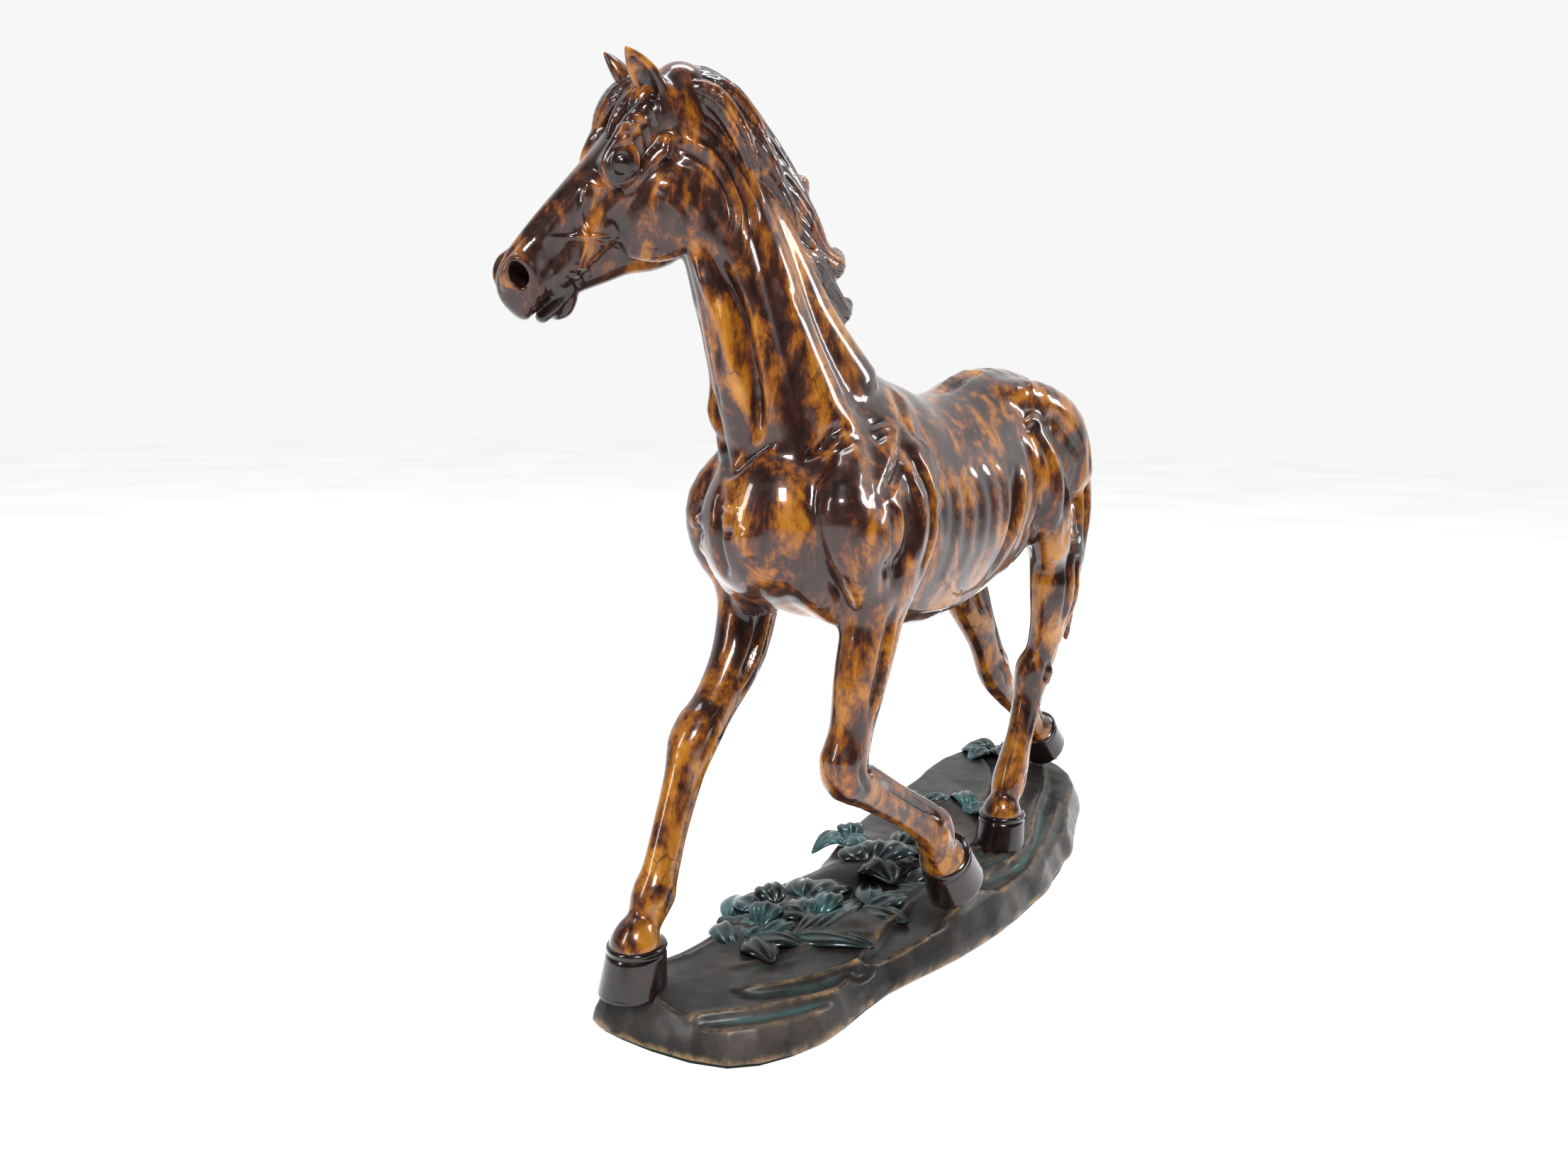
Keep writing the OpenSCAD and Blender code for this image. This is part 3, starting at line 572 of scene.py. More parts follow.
CRANIAL_FORMS = [
    ([(17, 13.5, -16, 3.4, 3), (25, 14.5, -16.5, 3.4, 3), (34, 13.6, -18, 3, 2.6), (43, 11.2, -18, 2.6, 2.2),
      (56, 8.6, -18, 2, 1.8), (68, 7, -18.5, 1.6, 1.4)], 3),
    ([(28, 8.5, -22, 6, 7), (42, 7.5, -22, 5.5, 7), (54, 6.5, -22, 5, 6)], 4),
    ([(14, 14.5, -14.5, 2.2, 2.2), (15, 14.5, -15, 2.2, 2.2)], 1.4),
    ([(18, 15.8, -17, 1.9, 1.9), (19, 15.8, -17, 1.9, 1.9)], 1.4),
    ([(11, 12, -2, 4.5, 4.5), (21, 13.6, -1.5, 4.8, 4), (30, 13.6, -3, 4.2, 3.6), (38, 11, -5.5, 3, 2.6)], 3),
    ([(52, 6.6, -8.5, 3, 4), (68, 5.4, -8.5, 2.3, 3.6), (82, 4.4, -8.5, 2, 3.2)], 2.5),
    ([(54, 8.8, -23, 3, 5), (68, 7.2, -23, 2.8, 5), (80, 5.8, -22.5, 2.6, 4.5)], 3),
    ([(80, 4.8, -9, 2.4, 4.2), (87, 5.8, -10, 2.8, 5.8), (92.5, 5.6, -11, 2.8, 6.2),
      (95.5, 4.4, -13.5, 2.6, 5)], 2),
]
MUZZLE = [
    ([(85, 0, -20, 7.2, 6), (94, 0, -21, 7.2, 6), (98, 0, -22.5, 5.8, 4.8), (99.5, 0, -24.5, 4.6, 3)], 2),
    ([(80, 0, -30.5, 5.4, 3.4), (89, 0, -31.2, 5.6, 3), (95.5, 0, -30.8, 4.4, 2.5)], 1.2),
    ([(82, 0, -33.5, 4.2, 3.2), (86.5, 0, -35, 4.6, 3.3), (90, 0, -34.2, 4, 2.8)], 1.6),
]
MOUTH = [(76, 8.2, -27.5, 0.9, 0.8), (83, 7.6, -28, 1.1, 0.8), (91, 6.4, -28, 1.2, 0.9),
         (97.5, 4, -28, 1.2, 0.9), (100.5, 0, -28, 1.2, 0.9)]
EYE = (34, 14.4, -8.5)
EAR_ROOT = (3, 9, -1)
EAR = [(0, 0, -4, 5.6, 4.2), (-0.4, 0, 5, 6, 3.8), (-0.8, 0, 10.5, 5.2, 3.3), (-1.2, 0, 15.5, 3.4, 2.3),
       (-1.4, 0, 20, 0.9, 0.8)]
EAR_BOWL = [(4.2, 0, 2.5, 2.4, 3), (3.4, 0, 7, 3.8, 3.2), (2.4, 0, 11.5, 3.2, 2.6), (1, 0, 15.5, 1.4, 1.4)]
# How far the lines of the face and throat move in the head's x and z
FACE_SHIFT = (-3, -1)
THROAT_SHIFT = (0.5, -2)

# Lines of the face, in the plane of the head's x and z: path, half width, height
FACE_LINES = [
    ([(48, -3), (60, -10), (66, -19), (80, -26)], 0.9, 0.85),
    ([(51, -3), (62, -9), (69, -18)], 0.7, -0.4),
    ([(78, -7), (68, -16), (56, -26)], 0.75, 0.65),
    ([(66, -19), (61, -27), (57, -35)], 0.7, 0.5),
    ([(60, -27), (70, -28)], 0.7, 0.4),
    ([(61, -22), (55, -21), (56, -26), (61, -26)], 0.9, 0.4),
    ([(72, -6), (80, -9), (87, -15)], 1.2, 0.5),
    ([(74, -14), (82, -18), (88, -20)], 1.0, -0.45),
    ([(81, -23), (77.5, -27), (78.5, -32)], 0.8, 0.6), ([(83.5, -22.5), (80, -27), (81, -33)], 0.8, -0.5),
    ([(77, -22), (73.5, -27), (74.5, -32)], 0.9, 0.5), ([(79, -22), (75.7, -27)], 0.6, -0.4),
    ([(95, -21), (96, -25), (94, -27)], 0.8, -0.4), ([(90, -20), (91, -24), (90, -27)], 0.8, -0.35),
    ([(99, -19), (100, -23), (99, -26.5)], 0.8, -0.4), ([(88, -31), (92, -34), (96, -33)], 0.9, -0.4),
    ([(46, -16), (41, -17.6), (33, -17.5), (26, -17)], 1.1, -0.7),
    ([(52, -22), (54, -30), (52, -37), (47, -44)], 1.4, -0.6),
    ([(26, -20), (20, -29), (20, -41)], 1.3, 0.2), ([(32, -20), (27, -30), (28, -44)], 1.3, 0.2),
    ([(38, -21), (34, -31), (37, -44)], 1.3, 0.2), ([(23, -20), (16.5, -29), (16.5, -40)], 1.0, -0.2),
    ([(29.5, -20), (23.5, -30), (24, -43)], 1.0, -0.2), ([(35, -20), (31, -31), (33, -45)], 1.0, -0.2),
    ([(28, -11.5), (24, -5), (26, 1.5), (33, 5)], 1.0, 0.6),
    ([(29.8, -10), (27, -5), (29, -0.5), (35, 2)], 0.7, -0.5),
    ([(24, -12), (19.5, -5), (21.5, 2.5), (28, 6)], 1.0, 0.5),
    ([(26, -12), (22, -5), (24, 1.5), (30, 5)], 0.7, -0.4),
    ([(16, -8), (14.5, -2), (16, 4)], 1.0, 0.4), ([(46, -11), (49, -8), (50, -3)], 1.0, 0.35),
    ([(45, -3), (43, 0), (38, 2)], 0.8, -0.4), ([(34, -14), (40, -13.6), (46, -10)], 0.8, 0.5),
    ([(33, -12.4), (39, -12), (45, -8.5)], 0.6, -0.4),
]
# Folds behind the cheek and at the throat
THROAT_LINES = [
    ([(13, -14), (8, -30), (13, -46), (27, -55)], 1.3, -1.3),
    ([(9, -12), (4, -30), (10, -49), (24, -58)], 1.2, 0.9),
    ([(6, -12), (1, -30), (8, -52), (21, -61)], 1.0, -0.8),
    ([(3, -11), (-2, -30), (5, -54), (18, -64)], 1.2, 0.9),
    ([(0, -11), (-4, -30), (3, -58)], 1.0, -0.8), ([(-3, -12), (-7, -31), (0, -61)], 1.3, 0.8),
    ([(-6, -15), (-9, -32), (-7, -49)], 1.0, -0.6), ([(-9, -19), (-12, -35), (-11, -51)], 1.3, 0.5),
]


# Places that the patina leaves dark: centre, reach along each axis, and how dark
DARK_SPOTS = [((91.5, 7.4, -10.5), (4.6, 5, 6.5), 1.0), ((35, 18, -9), (7, 6, 5.5), 0.8),
              ((88, 5.5, -27.5), (11, 6, 2.4), 1.0), ((4, 12, 4), (4.5, 5, 7), 0.9),
              ((20, 8, 0), (20, 14, 11), 0.5), ((97, 0, -26), (14, 14, 12), 0.45)]


def ring(centre, u, v, radius_u, radius_v, thick, arc=(0, 360)):
    """Stations round an oval in the plane of directions u and v."""
    rows = []
    for degrees in np.linspace(*arc, 13):
        a = math.radians(degrees)
        spot = np.add(centre, radius_u * math.cos(a) * np.array(u) + radius_v * math.sin(a) * np.array(v))
        rows.append([*spot, thick, thick])
    return rows


def model_ear(clay, side):
    """A cupped ear, hollow towards the front and outside."""
    lean = turn(2, side * 50) @ turn(0, side * -6) @ turn(1, 8)
    root = np.array(EAR_ROOT) * (1, side, 1)
    across = lean @ np.array(WIDE)
    clay.add("head", [[*(root + lean @ np.array(s[:3])), *s[3:]] for s in EAR], 3, across)
    clay.cut([[*(root + lean @ np.array(s[:3])), *s[3:]] for s in EAR_BOWL], 1.0, across)


def model_eye(clay, side):
    """Eyeball, lids and the rings of skin around them."""
    eye = np.array(EYE) * (1, side, 1)
    out = unit(np.array([0.22, side * 0.95, 0.22]))
    ahead = unit(np.array([0.80, 0, -0.55]))
    ahead = unit(ahead - (ahead @ out) * out)
    up = np.cross(out, ahead) * -side
    clay.cut([[*(eye + 4.4 * out), 5.4, 5.4], [*(eye + 4.5 * out), 5.4, 5.4]], 2.5)
    clay.add("eye", [[*eye, 4.2, 4.2], [*(eye + 0.1 * out), 4.2, 4.2]], 0.4)
    centre = eye + 2.4 * out
    clay.add("head", ring(centre + 0.3 * up, ahead, up, 4.8, 3.0, 1.25, (-8, 188)), 0.5)
    clay.add("head", ring(centre - 0.3 * up - 0.3 * out, ahead, up, 4.8, 3.2, 1.15, (176, 364)), 0.5)
    for step in (1, 2):
        ripple = centre - 1.0 * step * out
        clay.add("head", ring(ripple, ahead, up, 5.2 + 1.7 * step, 3.4 + 1.6 * step, 0.9, (-10, 370)), 0.9)


def model_nostril(clay, side):
    clay.add("head", ring((91, side * 6.1, -11.4), (0.86, side * -0.30, 0.40), (-0.36, side * 0.28, 0.88),
                          3.6, 5.8, 1.2), 3.0)
    clay.cut([(93.5, side * 11, -10.6, 3.3, 5.8), (91.5, side * 7, -11.2, 3.0, 5.2),
              (88, side * 4.2, -12.5, 2.6, 3.6), (83, side * 2.6, -14.5, 1.6, 2)], 0.8, across=(0.9, 0, 0.4))


def model_head():
    """The head and the top of the neck, in the head's own axes."""
    clay = Field((-36, -34, -108), (108, 38, 26), HEAD_STEP)
    clay.add("head", SKULL, egg=0.05)
    clay.add("head", JAW, 5)
    for stations, blend in MUZZLE:
        clay.add("head", stations, blend)
    for side in (1, -1):
        clay.add("head", flipped(CHEEK, side), 2)
        for stations, blend in CRANIAL_FORMS:
            clay.add("head", flipped(stations, side), blend)
    add_neck(clay, NECK + [NECK_TOP], 4, to_head, HEAD_AXES.T @ np.array(WIDE))
    for side in (1, -1):
        model_ear(clay, side)
        model_eye(clay, side)
        model_nostril(clay, side)
        clay.cut(flipped(MOUTH, side), 0.8)
    clay.soften()
    skin = clay.surface()
    skin.start_strokes()
    for side in (1, -1):
        for lines, shift in ((FACE_LINES, FACE_SHIFT), (THROAT_LINES, THROAT_SHIFT)):
            for path, width, height in lines:
                path = np.add(path, shift)
                skin.stroke(path, width, height, ((1, 0, 0), (0, 0, 1)), (0, side, 0))
    across, up, ahead = (HEAD_AXES.T @ np.array(a, float) for a in ((0, 1, 0), (0, 0, 1), (-1, 0, 0)))
    nape = skin.form == skin.names.index("neck")
    for path, width, height in CHEST_LINES:
        skin.stroke(np.subtract(path, POLL[1:]), width, CHEST_DEPTH * height, (across, up), ahead, nape)
    skin.apply_strokes()
    for spot, reach, depth in DARK_SPOTS:
        for side in (1, -1):
            far = np.linalg.norm((skin.points - np.array(spot) * (1, side, 1)) / np.array(reach), axis=1)
            skin.dark = np.maximum(skin.dark, depth * np.clip(1.4 - far, 0, 1))
    return skin


# ---- Hair ----------------------------------------------------------------------------------

MANE_LOCKS = [
    [(-163, 22, 374, 2.5, 2.5), (-156, 12, 369, 7, 5), (-147, 6, 356, 7, 5), (-139, 5, 342, 5, 4),
     (-133, 6, 330, 2, 2)],
    [(-160, 25, 376, 3, 3), (-148, 15, 373, 8, 6), (-137, 8, 360, 8, 6), (-127, 5, 345, 5, 4),
     (-121, 5, 333, 2, 2)],
    [(-164, 27, 374, 7, 6), (-150, 23, 376, 9, 8), (-133, 18, 368, 9, 8), (-119, 13, 354, 6, 5),
     (-113, 11, 345, 2, 2)],
    [(-155, 16, 366, 6, 6), (-141, 9, 358, 8, 7), (-126, 6, 344, 7, 6), (-116, 5, 326, 2, 2)],
    [(-148, 21, 367, 8, 7), (-132, 16, 362, 10, 9), (-116, 12, 349, 9, 8), (-105, 10, 339, 8, 7),
     (-99, 10, 345, 5, 4)],
    [(-142, 15, 352, 7, 6), (-127, 8, 342, 8, 7), (-115, 5, 328, 6, 6), (-108, 5, 312, 2, 2)],
    [(-137, 18, 350, 8, 7), (-121, 13, 346, 10, 9), (-105, 9, 334, 9, 8), (-93, 9, 321, 9, 8),
     (-86, 10, 321, 5, 5)],
    [(-127, 14, 332, 8, 7), (-110, 11, 328, 10, 9), (-93, 8, 317, 8, 8), (-80, 8, 312, 9, 8),
     (-74, 8, 316, 5, 5)],
    [(-124, 8, 322, 6, 6), (-110, 3, 312, 7, 6), (-99, 2, 298, 6, 5), (-92, 3, 284, 2, 2)],
    [(-116, 10, 314, 8, 7), (-99, 8, 310, 10, 9), (-83, 8, 300, 8, 8), (-71, 9, 292, 8, 7),
     (-64, 9, 296, 5, 4)],
    [(-105, 7, 296, 8, 7), (-90, 6, 292, 9, 8), (-75, 7, 281, 7, 7), (-65, 8, 270, 2, 2)],
]
TAIL_LOCKS = [
    [(134, 0, 236, 9, 9), (148, -1, 235, 11, 11), (159, -3, 212, 12, 11), (163, -6, 174, 12, 10),
     (164, -9, 138, 9, 8), (163, -13, 106, 2, 2)],
    [(144, 3, 226, 7, 7), (162, 3, 204, 9, 9), (171, 2, 166, 9, 8), (175, 0, 130, 6, 6),
     (178, -2, 114, 2, 2)],
]
FORELOCK_LOCKS = [
    [(0, -3, 3, 7, 4), (9, -8, 5, 8, 4.5), (18, -12, 3.5, 6, 3.5), (26, -14, 0, 2, 1.5)],
    [(0, 1, 2, 6, 4), (11, 3, 3, 6, 3.5), (22, 4, 1.5, 3, 2.5), (28, 5, 0, 1.5, 1.2)],
    [(1, 4, 1, 4, 3.5), (9, 8, 2, 4.5, 3), (18, 11, -1, 1.5, 1.5)],
]


def model_mane():
    clay = Field((-182, -20, 240), (-50, 52, 398), HAIR_STEP)
    for lock in MANE_LOCKS:
        clay.add("mane", lock, 2, strands=(13, 1.3, 0.6))
    return clay.surface()


def model_tail():
    clay = Field((120, -36, 90), (200, 26, 262), HAIR_STEP)
    for lock in TAIL_LOCKS:
        clay.add("tail", lock, 2, strands=(15, 1.3, 0.6))
    return clay.surface()


def model_forelock():
    clay = Field((-10, -16, -14), (42, 24, 16), HEAD_STEP)
    for lock in FORELOCK_LOCKS:
        clay.add("forelock", lock, 1.5, strands=(14, 0.5, 0.5))
    return clay.surface()


# ---- Hooves --------------------------------------------------------------------------------

HOOF_HEIGHT = 20.0
# The middle of each coronet, and how far the hoof tilts in degrees
HOOVES = {
    "left_fore_hoof": (-44, -45, 32, -42), "right_fore_hoof": (-188, 23.5, 20, 0),
    "left_hind_hoof": (60.5, -24, 20, 0), "right_hind_hoof": (201, 21, 30.5, -48),
}


def hoof_mesh(x, y, z, tilt):
    """A smooth horn wall, a slanted toe and a rolled coronet."""
    rows, around = [], 96
    a = np.linspace(0, 2 * np.pi, around, endpoint=False)
    toe, heel = np.clip(-np.cos(a), 0, 1), np.clip(np.cos(a), 0, 1) ** 6
    profile = [(0, 0.0), (0, 14.4), (0.6, 15.3)]
    profile += [(h, 15.3 - 0.11 * h) for h in np.linspace(1.5, 16.5, 22)]
    profile += [(17.2, 13.2), (18.0, 12.7), (18.8, 13.3), (19.8, 13.6), (20.8, 12.8), (21.4, 10.5),
                (21.6, 8), (21.6, 0)]
    for h, radius in profile:
        lean = 2.2 * (h / HOOF_HEIGHT - 0.5)
        r = radius * (1 - 0.10 * heel * (1 - h / 22)) + 0.8 * toe * (1 - h / HOOF_HEIGHT)
        level = np.full(around, h - HOOF_HEIGHT)
        rows.append(np.stack([r * np.cos(a) + lean, r * 0.96 * np.sin(a), level], axis=1))
    points = np.vstack(rows) @ turn(1, tilt).T + np.array([x, y, z])
    return points, np.array(ring_quads(0, len(rows) - 1, around))


# ---- Meshes --------------------------------------------------------------------------------

def to_row(points):
    """Figure millimetres to the row frame, in metres."""
    return (np.asarray(points, float) + np.array([0, 0, SOLE])) / MM


def ring_quads(first, last, around):
    """The quads between rings first and last of a mesh whose rings have around points each."""
    quads = []
    for i in range(first, last):
        for k in range(around):
            n = (k + 1) % around
            quads.append((i * around + k, i * around + n, (i + 1) * around + n, (i + 1) * around + k))
    return quads


def head_to_figure(points):
    return np.asarray(points) @ HEAD_AXES.T + POLL


def add_mesh(name, points, faces, normals=None, fields=None, triangles=None):
    """A mesh object from figure coordinates. faces are quads, and triangles may be added."""
    quads = np.asarray(faces, int).reshape(-1, 4)
    corners = quads.ravel()
    starts = np.arange(len(quads)) * 4
    totals = np.full(len(quads), 4)
    if triangles is not None and len(triangles):
        tris = np.asarray(triangles, int)
        starts = np.concatenate([starts, len(corners) + np.arange(len(tris)) * 3])
        corners = np.concatenate([corners, tris.ravel()])
        totals = np.concatenate([totals, np.full(len(tris), 3)])
    mesh = bpy.data.meshes.new(name)
    mesh.vertices.add(len(points))
    mesh.vertices.foreach_set("co", to_row(points).ravel())
    mesh.loops.add(len(corners))
    mesh.loops.foreach_set("vertex_index", corners)
    mesh.polygons.add(len(starts))
    mesh.polygons.foreach_set("loop_start", starts)
    mesh.polygons.foreach_set("use_smooth", np.ones(len(starts), bool))
    mesh.update(calc_edges=True)
    mesh.validate()
    for key, values in (fields or {}).items():
        layer = mesh.attributes.new(key, "FLOAT", "POINT")
        layer.data.foreach_set("value", np.asarray(values, float))
    if normals is not None:
        mesh.normals_split_custom_set_from_vertices(normals.tolist())
    piece = bpy.data.objects.new(name, mesh)
    bpy.context.scene.collection.objects.link(piece)
    return piece


def loops_of(quads):
    """The rims of an open patch, each as a list of point numbers."""
    edges = np.vstack([quads[:, [k, (k + 1) % 4]] for k in range(4)])
    forward = {(int(a), int(b)) for a, b in edges}
    onward = {}
    for a, b in forward:
        if (b, a) not in forward:
            onward.setdefault(b, []).append(a)
    rims = []
    while onward:
        start = next(iter(onward))
        rim, here = [start], start
        while True:
            nexts = onward[here]
            step = nexts.pop()
            if not nexts:
                del onward[here]
            if step == start or step not in onward:
                break
            rim.append(step)
            here = step
        if len(rim) > 2:
            rims.append(rim)
    return rims


def add_patch(name, parts):
    """One piece from parts of skins, closed where it was cut. A part is (skin, kept quads, points)."""
    all_points, all_quads, all_tris, all_normals = [], [], [], []
    fields = {"cavity": [], "dark": []}
    count = 0
    for skin, keep, points in parts:
        quads = skin.quads[keep]
        used, flat = np.unique(quads, return_inverse=True)
        quads = flat.reshape(-1, 4)
        spots, normals = points[used], skin.outward[used]
        cavity, dark = skin.cavity[used], skin.dark[used]
        tris = []
        for rim in loops_of(quads):
            centre = spots[rim].mean(axis=0)
            hub = len(spots)
            spots = np.vstack([spots, centre])
            normals = np.vstack([normals, unit(-normals[rim].mean(axis=0) + 1e-6)])
            cavity, dark = np.append(cavity, 0), np.append(dark, 0)
            tris += [(hub, a, b) for a, b in zip(rim, rim[1:] + rim[:1])]
        all_points.append(spots)
        all_normals.append(normals)
        all_quads.append(quads + count)
        if tris:
            all_tris.append(np.array(tris) + count)
        fields["cavity"].append(cavity)
        fields["dark"].append(dark)
        count += len(spots)
    return add_mesh(name, np.vstack(all_points), np.vstack(all_quads), np.vstack(all_normals),
                    {key: np.concatenate(rows) for key, rows in fields.items()},
                    np.vstack(all_tris) if all_tris else None)


def face_forms(skin, passes=8):
    """The form of each face, with smooth borders."""
    share = np.eye(len(skin.names))[skin.form]
    for _ in range(passes):
        share = 0.5 * share + 0.5 * skin.around(share)
    return np.argmax(share[skin.quads].sum(axis=1), axis=1)


# The neck is cut between the head's clay and the body's clay on this plane
NECK_CUT = np.array([-131.0, 14.0, 309.0])
CUT_NORMAL = unit(np.array([-0.6, 0.15, 0.78]))


def trim(skin, points, outward, side):
    """Which faces lie on one side of the neck cut. Their rim slides onto its plane."""
    centre = points[skin.quads].mean(axis=1)
    near = np.linalg.norm(centre - NECK_CUT, axis=1) < 70
    above = (centre - NECK_CUT) @ CUT_NORMAL * side > 0
    keep = above | ~near if side < 0 else above
    kept = np.zeros(len(points), bool)
    kept[skin.quads[keep]] = True
    lost = np.zeros(len(points), bool)
    lost[skin.quads[~keep]] = True
    rim = np.nonzero(kept & lost)[0]
    slide = CUT_NORMAL - (outward[rim] @ CUT_NORMAL)[:, None] * outward[rim]
    gap = (points[rim] - NECK_CUT) @ CUT_NORMAL
    points[rim] -= slide * (gap / np.maximum(slide @ CUT_NORMAL, 0.2))[:, None]
    return keep


# ---- Materials -----------------------------------------------------------------------------

class Shader:
    """A node material in the making."""

    def __init__(self, name):
        self.material = bpy.data.materials.new(name)
        self.material.use_nodes = True
        self.tree = self.material.node_tree
        self.tree.nodes.clear()
        self.place = self.put("TexCoord").outputs["Object"]

    def put(self, kind, **settings):
        node = self.tree.nodes.new("ShaderNode" + kind)
        for key, value in settings.items():
            setattr(node, key, value)
        return node

    def feed(self, socket, value):
        if isinstance(value, bpy.types.NodeSocket):
            self.tree.links.new(value, socket)
        elif value is not None:
            socket.default_value = (*value, 1) if isinstance(value, tuple) and len(value) == 3 and \
                socket.type == "RGBA" else value

    def math(self, operation, a, b=None, clamp=False):
        node = self.put("Math", operation=operation, use_clamp=clamp)
        self.feed(node.inputs[0], a)
        self.feed(node.inputs[1], b)
        return node.outputs[0]

    def stretched(self, scale):
        node = self.put("Mapping")
        self.feed(node.inputs["Vector"], self.place)
        node.inputs["Scale"].default_value = scale
        return node.outputs[0]

    def noise(self, scale, detail=4.0, rough=0.55, stretch=(1, 1, 1), twist=0.0):
        node = self.put("TexNoise")
        self.feed(node.inputs["Vector"], self.stretched(stretch))
        for key, value in (("Scale", scale), ("Detail", detail), ("Roughness", rough), ("Distortion", twist)):
            node.inputs[key].default_value = value
        return node.outputs["Fac"]

    def height(self):
        node = self.put("SeparateXYZ")
        self.feed(node.inputs[0], self.place)
        return node.outputs["Z"]

    def cracks(self, scale, stretch=(1, 1, 1)):
        node = self.put("TexVoronoi", feature="DISTANCE_TO_EDGE")
        self.feed(node.inputs["Vector"], self.stretched(stretch))
        node.inputs["Scale"].default_value = scale
        return node.outputs["Distance"]

    def value(self, name):
        return self.put("Attribute", attribute_name=name).outputs["Fac"]

    def ramp(self, factor, stops, interpolation="LINEAR"):
        node = self.put("ValToRGB")
        self.feed(node.inputs[0], factor)
        bar = node.color_ramp
        bar.interpolation = interpolation
        while len(bar.elements) < len(stops):
            bar.elements.new(0.5)
        for element, (at, tone) in zip(bar.elements, stops):
            element.position = at
            element.color = (*tone, 1) if isinstance(tone, tuple) else (tone, tone, tone, 1)
        return node.outputs[0]

    def mix(self, factor, a, b):
        node = self.put("Mix", data_type="RGBA", clamp_factor=True)
        self.feed(node.inputs[0], factor)
        self.feed(node.inputs[6], a)
        self.feed(node.inputs[7], b)
        return node.outputs[2]

    def between(self, value, low, high, out_low=0.0, out_high=1.0):
        node = self.put("MapRange", clamp=True)
        for key, v in zip(("Value", "From Min", "From Max", "To Min", "To Max"),
                          (value, low, high, out_low, out_high)):
            self.feed(node.inputs[key], v)
        return node.outputs[0]

    def finish(self, color, metallic, roughness, coat=1.0, coat_rough=0.05, height=None, bump=0.2,
               depth=0.0005):
        body = self.put("BsdfPrincipled")
        self.feed(body.inputs["Base Color"], color)
        self.feed(body.inputs["Metallic"], metallic)
        self.feed(body.inputs["Roughness"], roughness)
        body.inputs["Coat Weight"].default_value = coat
        body.inputs["Coat Roughness"].default_value = coat_rough
        body.inputs["Coat IOR"].default_value = 1.4
        body.inputs["Specular IOR Level"].default_value = 0.2
        if height is not None:
            relief = self.put("Bump")
            relief.inputs["Strength"].default_value = bump
            relief.inputs["Distance"].default_value = depth
            self.feed(relief.inputs["Height"], height)
            self.feed(body.inputs["Normal"], relief.outputs[0])
        out = self.put("OutputMaterial")
        self.tree.links.new(body.outputs[0], out.inputs["Surface"])
        return self.material


INK = (0.009, 0.0042, 0.0036)
UMBER = (0.030, 0.0095, 0.0055)
RUSSET = (0.085, 0.024, 0.008)
AMBER = (0.145, 0.042, 0.005)
ORANGE = (0.29, 0.105, 0.009)
GOLD = (0.46, 0.21, 0.020)


# The patina darkens by UPPER_SHADE between these heights, in metres above the resting face
UPPER_BODY = (0.13, 0.23)
UPPER_SHADE = 0.017
# How much darker the patina is in its dark places, in hollows (and, below 0, on ridges)
PLACE_SHADE = 0.16
CAVITY_SHADE = (-0.04, 0.09)


def patina(name, shade=0.0, scale=56.0, stretch=(1.0, 1.0, 0.55), rough=0.3):
    """Lacquered bronze: amber ground under dark blotches. A higher shade is darker."""
    s = Shader(name)
    broad = s.noise(scale, 7, 0.66, stretch, 0.45)
    fine = s.noise(scale * 4, 5, 0.62, stretch)
    wear = s.math("ADD", s.math("MULTIPLY", broad, 0.78), s.math("MULTIPLY", fine, 0.22))
    cavity, dark = s.value("cavity"), s.value("dark")
    wear = s.math("SUBTRACT", wear, s.between(cavity, -1.2, 1.6, *CAVITY_SHADE))
    wear = s.math("SUBTRACT", wear, s.math("MULTIPLY", dark, PLACE_SHADE))
    wear = s.math("SUBTRACT", wear, shade)
    wear = s.math("SUBTRACT", wear, s.between(s.height(), *UPPER_BODY, 0.0, UPPER_SHADE))
    tone = s.ramp(wear, [(0.34, INK), (0.44, UMBER), (0.474, RUSSET), (0.496, AMBER), (0.56, ORANGE),
                         (0.76, GOLD)])
    crack = s.between(s.cracks(scale * 2.4, stretch), 0.0, 0.05, 1.0, 0.0)
    some = s.between(s.noise(scale * 0.6, 3), 0.50, 0.60)
    tone = s.mix(s.math("MULTIPLY", s.math("MULTIPLY", crack, some), 0.8), tone, UMBER)
    tone = s.mix(s.between(dark, 0.55, 0.95), tone, INK)
    grain = s.noise(900, 3, 0.6)
    roughness = s.between(fine, 0.3, 0.7, rough - 0.05, rough + 0.12)
    return s.finish(tone, 0.15, roughness, coat=0.85, coat_rough=0.05, height=grain, bump=0.06, depth=0.0002)


def rock_finish():
    """Charcoal cast rock, rubbed to gold on its ledges, with verdigris in its hollows."""
    s = Shader("cast_rock")
    broad = s.noise(26, 6, 0.6)
    fine = s.noise(140, 6, 0.7)
    cavity = s.value("cavity")
    tone = s.ramp(broad, [(0.35, (0.007, 0.0068, 0.0065)), (0.5, (0.022, 0.019, 0.017)),
                          (0.64, (0.055, 0.045, 0.038))])
    green = s.math("MULTIPLY", s.between(cavity, 0.12, 0.7), s.between(s.noise(26, 5), 0.46, 0.62, 0.0, 0.75))
    tone = s.mix(green, tone, (0.034, 0.105, 0.105))
    ridge_rub_and_highlight = s.between(s.math("MULTIPLY", cavity, -1.0), 0.3, 1.0)
    tone = s.mix(s.math("MULTIPLY", ridge_rub_and_highlight, s.between(fine, 0.40, 0.60, 0.0, 0.8)), tone, (0.30, 0.18, 0.075))
    return s.finish(tone, 0.3, s.between(fine, 0.3, 0.7, 0.38, 0.6), coat=0.35, coat_rough=0.25,
                    height=fine, bump=0.35, depth=0.0008)


